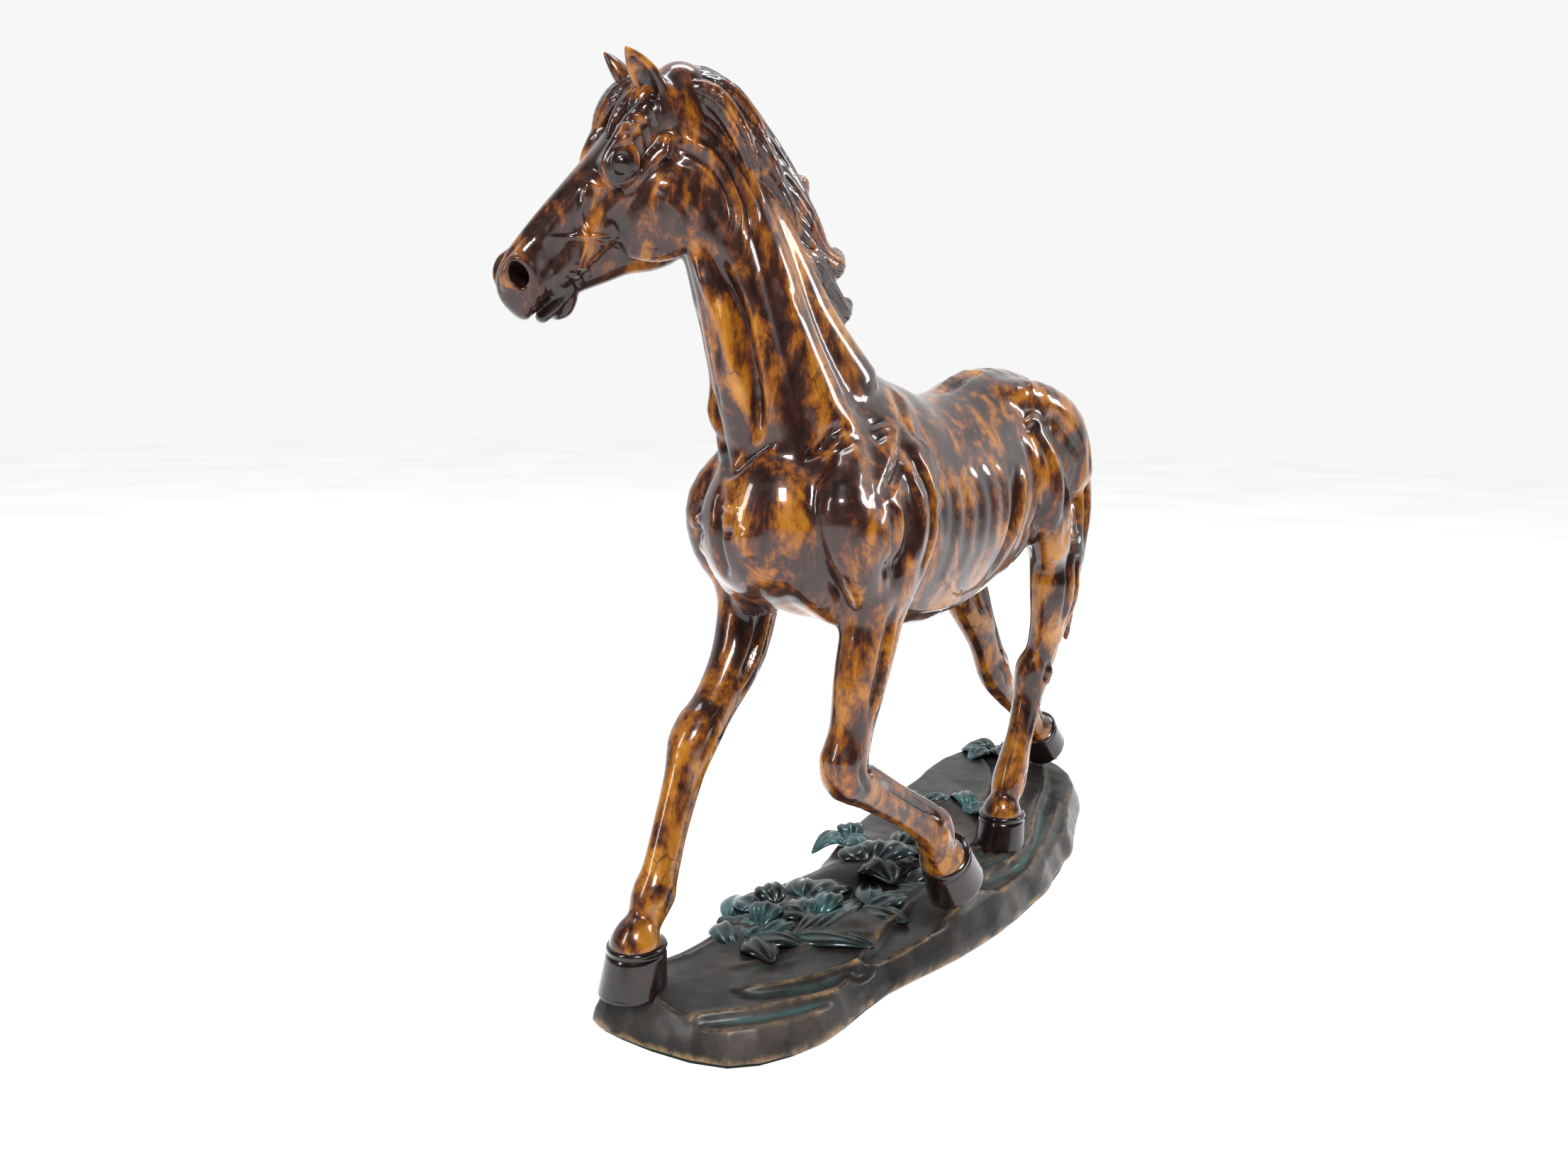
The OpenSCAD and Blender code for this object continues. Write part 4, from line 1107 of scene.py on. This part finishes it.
def leaf_finish():
    s = Shader("verdigris_leaves")
    broad = s.noise(34, 5, 0.6)
    fine = s.noise(160, 5, 0.65)
    cavity = s.value("cavity")
    tone = s.ramp(broad, [(0.42, (0.008, 0.0085, 0.0085)), (0.52, (0.012, 0.022, 0.024)),
                          (0.66, (0.04, 0.11, 0.11))])
    # The ridges of the leaves' ribs are painted pale teal: a painted highlight, not wear
    ridge_rub_and_highlight = s.between(s.math("MULTIPLY", cavity, -1.0), 0.3, 1.2)
    tone = s.mix(s.math("MULTIPLY", ridge_rub_and_highlight, 0.45), tone, (0.16, 0.28, 0.27))
    return s.finish(tone, 0.5, s.between(fine, 0.3, 0.7, 0.28, 0.5), coat=0.8, coat_rough=0.12,
                    height=fine, bump=0.15, depth=0.0004)


def steel_finish():
    s = Shader("bright_steel")
    lines = s.noise(700, 3, 0.5, (1, 1, 6))
    return s.finish(s.ramp(lines, [(0.3, (0.42, 0.43, 0.44)), (0.7, (0.62, 0.63, 0.64))]), 1.0,
                    s.between(lines, 0.3, 0.7, 0.22, 0.38), coat=0.0)


def felt_finish():
    s = Shader("green_felt")
    fibres = s.noise(2200, 4, 0.7)
    return s.finish(s.ramp(fibres, [(0.3, (0.008, 0.014, 0.010)), (0.7, (0.020, 0.034, 0.024))]), 0.0, 0.95,
                    coat=0.0, height=fibres, bump=0.6, depth=0.0004)


def paper_finish():
    """Overlit white paper, which glows a little."""
    s = Shader("white_paper")
    cloud = s.noise(3, 2, 0.5)
    tone = s.ramp(cloud, [(0.3, (0.88, 0.88, 0.88)), (0.7, (0.94, 0.94, 0.94))])
    material = s.finish(tone, 0.0, 0.9, coat=0.0)
    body = next(node for node in s.tree.nodes if node.type == "BSDF_PRINCIPLED")
    s.feed(body.inputs["Emission Color"], tone)
    body.inputs["Emission Strength"].default_value = 0.6
    return material


# ---- Base ----------------------------------------------------------------------------------
# Base heights are measured from the resting face, and base_points() takes them to the figure's.

OUTLINE = [
    (-202, 20), (-190, -30), (-150, -50), (-95, -50), (-45, -58), (15, -61), (90, -52), (160, -30),
    (220, -5), (246, 45), (230, 85), (190, 94), (110, 80), (30, 65), (-35, 45), (-80, 55),
    (-125, 40), (-190, 45),
]
HOLLOW = [
    (-186, 14), (-179, -18), (-152, -33), (-90, -37), (0, -46), (75, -39), (160, -14), (218, 12),
    (231, 48), (222, 76), (196, 80), (120, 68), (40, 52), (-40, 28), (-110, 26), (-178, 30),
]
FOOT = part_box("base_casting")[0][2] * MM
WASHER_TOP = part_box("stud_washers")[1][2] * MM
# Mounds of the top: x, y, half length, half width, height
MOUNDS = [
    (-24, -38, 30, 22, 14), (208, 26, 27, 30, 5), (-100, 18, 36, 28, 7), (-82, -14, 36, 22, 5),
    (-14, 14, 34, 28, 8), (10, 42, 22, 18, 6), (94, 34, 28, 26, 6), (226, 56, 24, 26, 6),
    (-190, 24, 30, 24, 6), (60, -24, 26, 24, 6), (-44, 24, 30, 20, 5),
]


def ring_distance(x, y, ring):
    """Distance to a smooth closed outline, negative inside."""
    wrapped = ring[-2:] + ring + ring[:3]
    curve = smooth(wrapped, 3)[6:-7]
    far = np.full(np.broadcast(x, y).shape, 1e9)
    inside = np.zeros(far.shape, bool)
    for a, b in zip(curve, np.roll(curve, -1, axis=0)):
        run = b - a
        t = np.clip(((x - a[0]) * run[0] + (y - a[1]) * run[1]) / (run @ run + 1e-9), 0, 1)
        far = np.minimum(far, (x - a[0] - t * run[0]) ** 2 + (y - a[1] - t * run[1]) ** 2)
        crosses = (a[1] > y) != (b[1] > y)
        rise = run[1] if abs(run[1]) > 1e-9 else 1e-9
        inside ^= crosses & (x < a[0] + (y - a[1]) / rise * run[0])
    return np.where(inside, -1, 1) * np.sqrt(far)


def lattice(shape, cell, seed, stretch=(1, 1, 1)):
    """Smooth random values from -1 to 1 on a grid, with features of about cell grid steps."""
    rng = np.random.default_rng(seed)
    sizes = [max(int(n / (cell * stretch[k])) + 3, 3) for k, n in enumerate(shape)]
    values = rng.uniform(-1, 1, sizes).astype(np.float32)
    for k, n in enumerate(shape):
        at = np.arange(n) / (cell * stretch[k])
        i = at.astype(int)
        f = at - i
        f = (f * f * (3 - 2 * f)).reshape([-1 if j == k else 1 for j in range(len(shape))])
        values = np.take(values, i, axis=k) * (1 - f) + np.take(values, i + 1, axis=k) * f
    return values


def soft_max(a, b, r):
    h = np.maximum(r - np.abs(a - b), 0) / r
    return np.maximum(a, b) + h * h * r * 0.25


# Ledges of the top: a path, how high its lip stands, how far the rock drops to the right of the
# path, and the widths of the drop and of the low ground beyond it
LEDGES = [
    ([(-163, -8), (-150, -20), (-134, -30), (-116, -36), (-92, -46)], 1.8, 3.4, 1.6, 9),
    ([(-196, -4), (-184, -15), (-168, -28), (-150, -37), (-128, -46), (-100, -52)], 1.6, 3.6, 1.8, 10),
    ([(-198, -20), (-190, -32), (-176, -41), (-159, -44), (-138, -46)], 1.4, 2.6, 1.8, 12),
    ([(-112, -50), (-74, -50), (-44, -51), (4, -53)], 2.2, -1.6, 2.4, 9),
    ([(-126, -42), (-100, -36), (-72, -30), (-40, -26)], 1.6, 2.6, 2.6, 13),
    ([(-60, -46), (-20, -52), (30, -52), (70, -44), (120, -30), (160, -16)], 1.8, 2.4, 2.0, 8),
    ([(10, -38), (40, -40), (76, -34), (128, -14), (176, 2), (216, 22)], 1.5, 2.6, 2.2, 12),
    ([(120, 20), (160, 34), (196, 56), (214, 80)], 1.2, 2.0, 3.0, 14),
    ([(-70, 36), (-110, 27), (-150, 26), (-178, 34)], 1.2, 2.2, 2.4, 11),
    ([(-150, 6), (-130, -4), (-104, -14), (-80, -30)], 0.9, 1.4, 3.0, 12),
    ([(28, -8), (52, -22), (84, -20), (110, -8)], 1.4, 2.0, 2.4, 10),
    ([(20, 4), (44, -10), (70, -12), (96, -2)], 1.2, 1.6, 2.2, 8),
]
WAVES = range(-34, -4, 7)


def ledge(top, x, y, path, lip, drop, run, reach):
    """Adds a lip and a drop beside it along a path, fading out at its ends."""
    curve = smooth(path, 5)
    best = np.full(np.broadcast(x, y).shape, 1e9)
    side, along = np.zeros(best.shape), np.zeros(best.shape)
    for i, (a, b) in enumerate(zip(curve, curve[1:])):
        way = b - a
        t = np.clip(((x - a[0]) * way[0] + (y - a[1]) * way[1]) / (way @ way), 0, 1)
        dx, dy = x - a[0] - t * way[0], y - a[1] - t * way[1]
        gap = dx * dx + dy * dy
        closer = gap < best
        best = np.where(closer, gap, best)
        side = np.where(closer, way[0] * dy - way[1] * dx, side)
        along = np.where(closer, (i + t) / (len(curve) - 1), along)
    far = np.sqrt(best)
    ends = np.clip(np.minimum(along, 1 - along) * 5, 0, 1) ** 0.7
    low = (1 - np.exp(-(far / run) ** 2)) * np.exp(-(far / reach) ** 2)
    return top + ends * (lip * np.exp(-(far / 2.2) ** 2) - drop * low * (side < 0))


def base_top(x, y):
    """The height of the rock's top, from the resting face."""
    top = 17.6 + 0 * (x + y)
    for cx, cy, rx, ry, h in MOUNDS:
        far = np.sqrt(((x - cx) / rx) ** 2 + ((y - cy) / ry) ** 2)
        top = top + h * np.clip(1.1 - far, 0, 1) ** 1.2
    for row in LEDGES:
        top = ledge(top, x, y, *row)
    for y0 in WAVES:
        top = ledge(top, x, y, [(-4, y0 + 6), (14, y0 - 4), (32, y0 - 2), (50, y0 - 9)], 1.8, 0.8, 1.6, 4)
    return top


def model_base():
    """The cast rock: a sloping side, a lipped top with ledges, and a hollow below."""
    clay = Field((-212, -72, FOOT - 3), (256, 106, 42), BASE_STEP)
    where, (x, y, z) = clay.window(clay.low, clay.low + clay.step * clay.shape)
    shape = clay.shape
    flat_x, flat_y = x[:, :, 0].astype(float), y[:, :, 0].astype(float)
    flow = lattice(shape[:2], 22 / clay.step, 3)[:, :, None]
    edge = ring_distance(flat_x, flat_y, OUTLINE)[:, :, None] + 0.5 * flow
    crisp = lattice(shape[:2], 7 / clay.step, 4)[:, :, None]
    rough = lattice(shape, 6 / clay.step, 5, (1.8, 1.0, 0.5))
    top = base_top(flat_x, flat_y)[:, :, None] + 0.5 * flow + 0.15 * crisp
    top = top - 2.0 * np.exp(-np.clip(-edge, 0, None) / 6)
    hollow = ring_distance(flat_x, flat_y, HOLLOW)[:, :, None]
    top = np.where(hollow < 3, soft_max(top, WASHER_TOP + 1.8, 1.0), top)
    slope = 5.5 * np.clip(z / 14, 0, 1.4) ** 1.3 + 1.6 * flow
    d = soft_max(0.85 * (edge + slope), 0.95 * (z - top), 1.6)
    d = d + 0.18 * rough
    d = soft_max(d, edge + 0.4, 1.0)
    d = soft_max(d, -np.maximum(hollow, z - WASHER_TOP), 0.5)
    for name in HOOVES:
        cx, cy = stud_place(name)
        pocket = np.maximum(np.sqrt((x - cx) ** 2 + (y - cy) ** 2) - 5.5, z - WASHER_TOP)
        d = soft_max(d, -pocket, 0.5)
    d = soft_max(d, FOOT - z, 0.4)
    clay.d[where] = d
    clay.form[:] = 1
    clay.names = ["clay", "base"]
    return clay.surface()


def stud_place(hoof):
    """Where the middle of a hoof's sole is, which is where its stud stands."""
    x, y, _, tilt = HOOVES[hoof]
    return x - math.sin(math.radians(tilt)) * HOOF_HEIGHT, y


def base_points(points):
    """Base millimetres, from the resting face, to figure millimetres."""
    return points - np.array([0, 0, SOLE])


# ---- Leaves --------------------------------------------------------------------------------

def leaf(x, y, z, heading, length, width, lift, droop=0.6, fold=0.35, bend=0.0, ribs=5, thick=1.3):
    """A pointed leaf: a ribbed blade that rises from its stalk, arches over and turns down."""
    steps, sides = 26, 13
    t = np.linspace(0, 1, steps)[:, None]
    v = np.linspace(-1, 1, sides)[None, :]
    half = 0.5 * width * np.sin(np.pi * np.clip(t, 0, 1) ** 0.75) ** 0.8 * (1 - 0.15 * t) + 0.35
    turn_by = np.radians(heading + bend * t)
    step = length / (steps - 1)
    cx = x + np.cumsum(np.cos(turn_by), axis=0) * step
    cy = y + np.cumsum(np.sin(turn_by), axis=0) * step
    cz = z + lift * np.sin(np.pi * t ** 0.8) + droop * -lift * t ** 3
    off = v * half
    up = -fold * np.abs(off) ** 1.6 - 0.6 * np.abs(np.sin(np.pi * ribs * v / 2)) * np.minimum(half, 1.5)
    up = up + 0.35 * np.sin(7 * t + 3 * v) * np.minimum(half / 4, 1)
    thickness = thick * np.minimum(1.0, 4 * np.minimum(t, 1 - t) + 0.35) * (1 - 0.6 * v ** 4)
    px = cx - np.sin(turn_by) * off
    py = cy + np.cos(turn_by) * off
    upper = np.stack([px, py, cz + up + 0 * px], axis=-1)
    lower = np.stack([px, py, cz + up - thickness], axis=-1)
    rings = np.concatenate([upper, lower[:, ::-1]], axis=1)
    count = rings.shape[1]
    points = rings.reshape(-1, 3)
    quads = ring_quads(0, steps - 1, count)
    for i, end in ((0, 1), (steps - 1, -1)):
        for k in range(sides - 1):
            near, far = i * count + k, (i + 1) * count - 1 - k
            quads.append((near, far, far - 1, near + 1)[::end])
    ridge = (np.abs(np.sin(np.pi * ribs * v / 2)) * 1.6 - 1.0) * np.ones_like(t)
    cavity = np.concatenate([ridge, 0 * ridge], axis=1).ravel()
    return points, np.array(quads), cavity


def add_leaves(name, leaves):
    points, quads, cavity, count = [], [], [], 0
    for row in leaves:
        p, q, c = leaf(*row)
        points.append(p)
        quads.append(q + count)
        cavity.append(c)
        count += len(p)
    points = base_points(np.vstack(points))
    return add_mesh(name, points, np.vstack(quads), None, {"cavity": np.concatenate(cavity)})


def spray(x, y, heading, spread, count, length, width, lift):
    """Leaves that fan out from one stalk, each a little unlike the last."""
    rows = []
    for i in range(count):
        share = (i + 0.5) / count - 0.5
        vary = math.sin(2.4 * i + 0.13 * x + 0.07 * y)
        level = float(base_top(np.array([x]), np.array([y]))[0]) + 0.4
        rows.append((x + 3 * vary, y - 2 * vary, level, heading + spread * share + 12 * vary,
                     length * (1 + 0.18 * vary), width * (1 - 0.12 * vary), 0.55 * lift * (1 + 0.3 * vary),
                     0.7, 0.06, 26 * vary, 3, 2.6))
    return rows


FOLIAGE = {
    "foliage_front": spray(-116, 36, -60, 170, 4, 30, 20, 8) + spray(-122, 12, -40, 150, 4, 26, 18, 6)
    + spray(-72, 20, -30, 170, 3, 28, 22, 8) + spray(-106, -4, -5, 90, 4, 46, 15, 5)
    + spray(-60, -10, -20, 120, 3, 30, 18, 5) + spray(-96, 22, 120, 240, 3, 20, 18, 9)
    + spray(-88, 2, 60, 200, 3, 24, 16, 9),
    "foliage_middle": spray(-20, 12, -10, 200, 4, 28, 24, 13) + spray(2, 44, 20, 300, 5, 20, 18, 10)
    + spray(-26, -8, -50, 120, 3, 32, 14, 4) + spray(14, 22, -60, 160, 3, 26, 16, 7),
    "foliage_rear": spray(86, 46, 60, 280, 5, 20, 17, 8) + spray(94, 16, -30, 160, 4, 28, 16, 11)
    + spray(218, 64, 140, 220, 4, 22, 17, 8) + spray(228, 46, -20, 200, 4, 20, 16, 8),
}


# ---- Assembly ------------------------------------------------------------------------------

def place_piece(piece, node, material):
    piece.data.materials.append(material)
    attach(piece, "root")
    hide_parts(node)


def finish_skin(skin, passes=3):
    skin.read_cavity(passes)
    skin.outward = skin.normals()
    return skin


PLUG_RADIUS = 3.2
# Rings of a plug: share of its radius, and height below the belly's skin
PLUG_PROFILE = ((0, -3.0), (0.9, -3.0), (1, -0.2), (0.94, 0.35), (0.6, 0.6), (0, 0.65))
# The belly's lowest point this near to a plug sets the plug's height
PLUG_REACH = 4


def plug_mesh(name):
    """Filed plugs that close the core holes: low domes which stand just proud of the belly."""
    low, high = (np.array(corner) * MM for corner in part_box("core_plugs"))
    points, quads, around = [], [], 24
    a = np.linspace(0, 2 * np.pi, around, endpoint=False)
    y = (low[1] + high[1]) / 2
    for x in (low[0] + PLUG_RADIUS, high[0] - PLUG_RADIUS):
        near = np.hypot(body_points[:, 0] - x, body_points[:, 1] - y) < PLUG_REACH
        belly = body_points[near, 2].min()
        quads += ring_quads(len(points), len(points) + len(PLUG_PROFILE) - 1, around)
        for share, drop in PLUG_PROFILE:
            across, along = PLUG_RADIUS * share * np.cos(a), PLUG_RADIUS * share * np.sin(a)
            points.append(np.stack([x + across, y + along, np.full(around, belly - drop)], axis=1))
    return add_mesh(name, np.vstack(points), np.array(quads)[:, [0, 3, 2, 1]])


bronze = patina("bronze_patina", shade=0.011)
dark_bronze = patina("mane_patina", shade=0.03)
horn = patina("hoof_patina", shade=0.22, rough=0.22)
rock = rock_finish()
leaves = leaf_finish()
steel, felt = steel_finish(), felt_finish()

body = finish_skin(model_figure())
skull = finish_skin(model_head())
body_forms, skull_forms = face_forms(body), face_forms(skull)
body_points = body.points.copy()
skull_points = head_to_figure(skull.points)
skull.outward = skull.outward @ HEAD_AXES.T
for skin, points in ((body, body_points), (skull, skull_points)):
    skin.cavity *= np.clip(np.abs((points - NECK_CUT) @ CUT_NORMAL) / 16, 0, 1)
low_neck = trim(body, body_points, body.outward, -1)
high_neck = trim(skull, skull_points, skull.outward, 1)

for node in ["torso"] + list(LEGS):
    keep = (body_forms == body.names.index(node)) & low_neck
    place_piece(add_patch("visual_" + node, [(body, keep, body_points)]), node, bronze)
neck_piece = add_patch("visual_neck", [
    (body, (body_forms == body.names.index("neck")) & low_neck, body_points),
    (skull, (skull_forms == skull.names.index("neck")) & high_neck, skull_points),
])
place_piece(neck_piece, "neck", bronze)
head_keep = (skull_forms != skull.names.index("neck")) & high_neck
place_piece(add_patch("visual_head", [(skull, head_keep, skull_points)]), "head", bronze)

for node, model in (("mane", model_mane), ("tail", model_tail), ("forelock", model_forelock)):
    hair = finish_skin(model(), 1)
    points = hair.points
    if node == "forelock":
        points, hair.outward = head_to_figure(points), hair.outward @ HEAD_AXES.T
    whole = np.ones(len(hair.quads), bool)
    place_piece(add_patch("visual_" + node, [(hair, whole, points)]), node, dark_bronze)

for node, spec in HOOVES.items():
    place_piece(add_mesh("visual_" + node, *hoof_mesh(*spec)), node, horn)

ground = finish_skin(model_base(), 2)
whole = np.ones(len(ground.quads), bool)
base_piece = add_patch("visual_base", [(ground, whole, base_points(ground.points))])
place_piece(base_piece, "base_casting", rock)
for node, rows in FOLIAGE.items():
    place_piece(add_leaves("visual_" + node, rows), node, leaves)

place_piece(plug_mesh("visual_core_plugs"), "core_plugs", bronze)

for node in ("mounting_studs", "stud_washers", "stud_nuts", "leg_dowels", "neck_dowels", "head_dowels",
             "tail_dowel"):
    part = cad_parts[node]
    part.data.materials.clear()
    part.data.materials.append(steel)
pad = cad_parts["felt_pad"]
pad.data.materials.clear()
pad.data.materials.append(felt)


# ---- Studio --------------------------------------------------------------------------------

def add_floor():
    """A plain pale floor, with half its width in metres."""
    half = 6.0
    mesh = bpy.data.meshes.new("floor")
    corners = [(-half, -half, 0), (half, -half, 0), (half, half, 0), (-half, half, 0)]
    mesh.from_pydata(corners, [], [(0, 1, 2, 3)])
    mesh.materials.append(paper_finish())
    floor = bpy.data.objects.new("floor", mesh)
    bpy.context.scene.collection.objects.link(floor)


def add_light(name, place, target, size, power, tone=(1, 1, 1)):
    """A soft rectangular lamp that faces a point. Sizes are (width, height) in metres."""
    lamp = bpy.data.lights.new(name, "AREA")
    lamp.shape = "RECTANGLE"
    lamp.size, lamp.size_y = size
    lamp.energy = power
    lamp.color = tone
    thing = bpy.data.objects.new(name, lamp)
    bpy.context.scene.collection.objects.link(thing)
    back = unit(np.subtract(place, target).astype(float))
    side = unit(np.cross([0, 0, 1], back))
    up = np.cross(back, side)
    thing.matrix_world = matrix(side, up, back, place)


def matrix(side, up, back, place):
    """A pose from three directions and a place."""
    rows = [[side[k], up[k], back[k], place[k]] for k in range(3)]
    return Matrix(rows + [[0, 0, 0, 1]])


def add_camera():
    """The photographer's place: low and close, ahead of the horse on its left side."""
    place = np.array([-519, -305, 268.5]) / MM
    yaw, pitch, roll = 0.65, -0.16, 0.0175
    look = np.array([math.cos(yaw) * math.cos(pitch), math.sin(yaw) * math.cos(pitch), math.sin(pitch)])
    right = unit(np.cross(look, [0, 0, 1]))
    up = np.cross(right, look)
    c, s = math.cos(roll), math.sin(roll)
    right, up = c * right + s * up, c * up - s * right
    lens = bpy.data.cameras.new("camera")
    lens.sensor_width = 36
    lens.lens = 26.4
    lens.clip_start, lens.clip_end = 0.02, 20
    camera = bpy.data.objects.new("camera", lens)
    bpy.context.scene.collection.objects.link(camera)
    camera.matrix_world = matrix(right, up, -look, place)
    bpy.context.scene.camera = camera


def add_surroundings():
    """A white cloth behind the horse lights it, with a dim room behind the photographer.

    Seen directly, the surroundings are plain and pale from every side.
    """
    world = bpy.data.worlds.new("studio")
    world.use_nodes = True
    tree = world.node_tree
    sky = tree.nodes["Background"]
    place = tree.nodes.new("ShaderNodeTexCoord")
    across = tree.nodes.new("ShaderNodeVectorMath")
    across.operation = "DOT_PRODUCT"
    across.inputs[1].default_value = (0.80, 0.60, 0.05)
    tree.links.new(place.outputs["Generated"], across.inputs[0])
    ramp = tree.nodes.new("ShaderNodeValToRGB")
    tree.links.new(across.outputs["Value"], ramp.inputs[0])
    ramp.color_ramp.elements[0].position = 0.0
    ramp.color_ramp.elements[0].color = (0.04, 0.04, 0.045, 1)
    ramp.color_ramp.elements[1].position = 0.45
    ramp.color_ramp.elements[1].color = (0.93, 0.93, 0.93, 1)
    rays = tree.nodes.new("ShaderNodeLightPath")
    backdrop = tree.nodes.new("ShaderNodeMix")
    backdrop.data_type = "RGBA"
    tree.links.new(rays.outputs["Is Camera Ray"], backdrop.inputs[0])
    tree.links.new(ramp.outputs[0], backdrop.inputs[6])
    backdrop.inputs[7].default_value = ramp.color_ramp.elements[1].color
    tree.links.new(backdrop.outputs[2], sky.inputs[0])
    sky.inputs[1].default_value = 1.0
    bpy.context.scene.world = world


add_floor()
add_light("key", (-1.0, -1.0, 1.3), (0, 0, 0.2), (0.45, 0.35), 26)
add_light("window_left", (-1.3, 0.3, 0.8), (0, 0, 0.25), (0.16, 0.8), 9)
add_light("overhead", (0.1, 0.1, 1.5), (0, 0, 0.2), (1.0, 0.35), 14, (0.88, 0.93, 1.0))
add_light("rear", (0.9, -0.9, 0.8), (0, 0, 0.2), (0.3, 0.4), 7)
add_surroundings()
bpy.context.scene.view_settings.view_transform = "Standard"
add_camera()
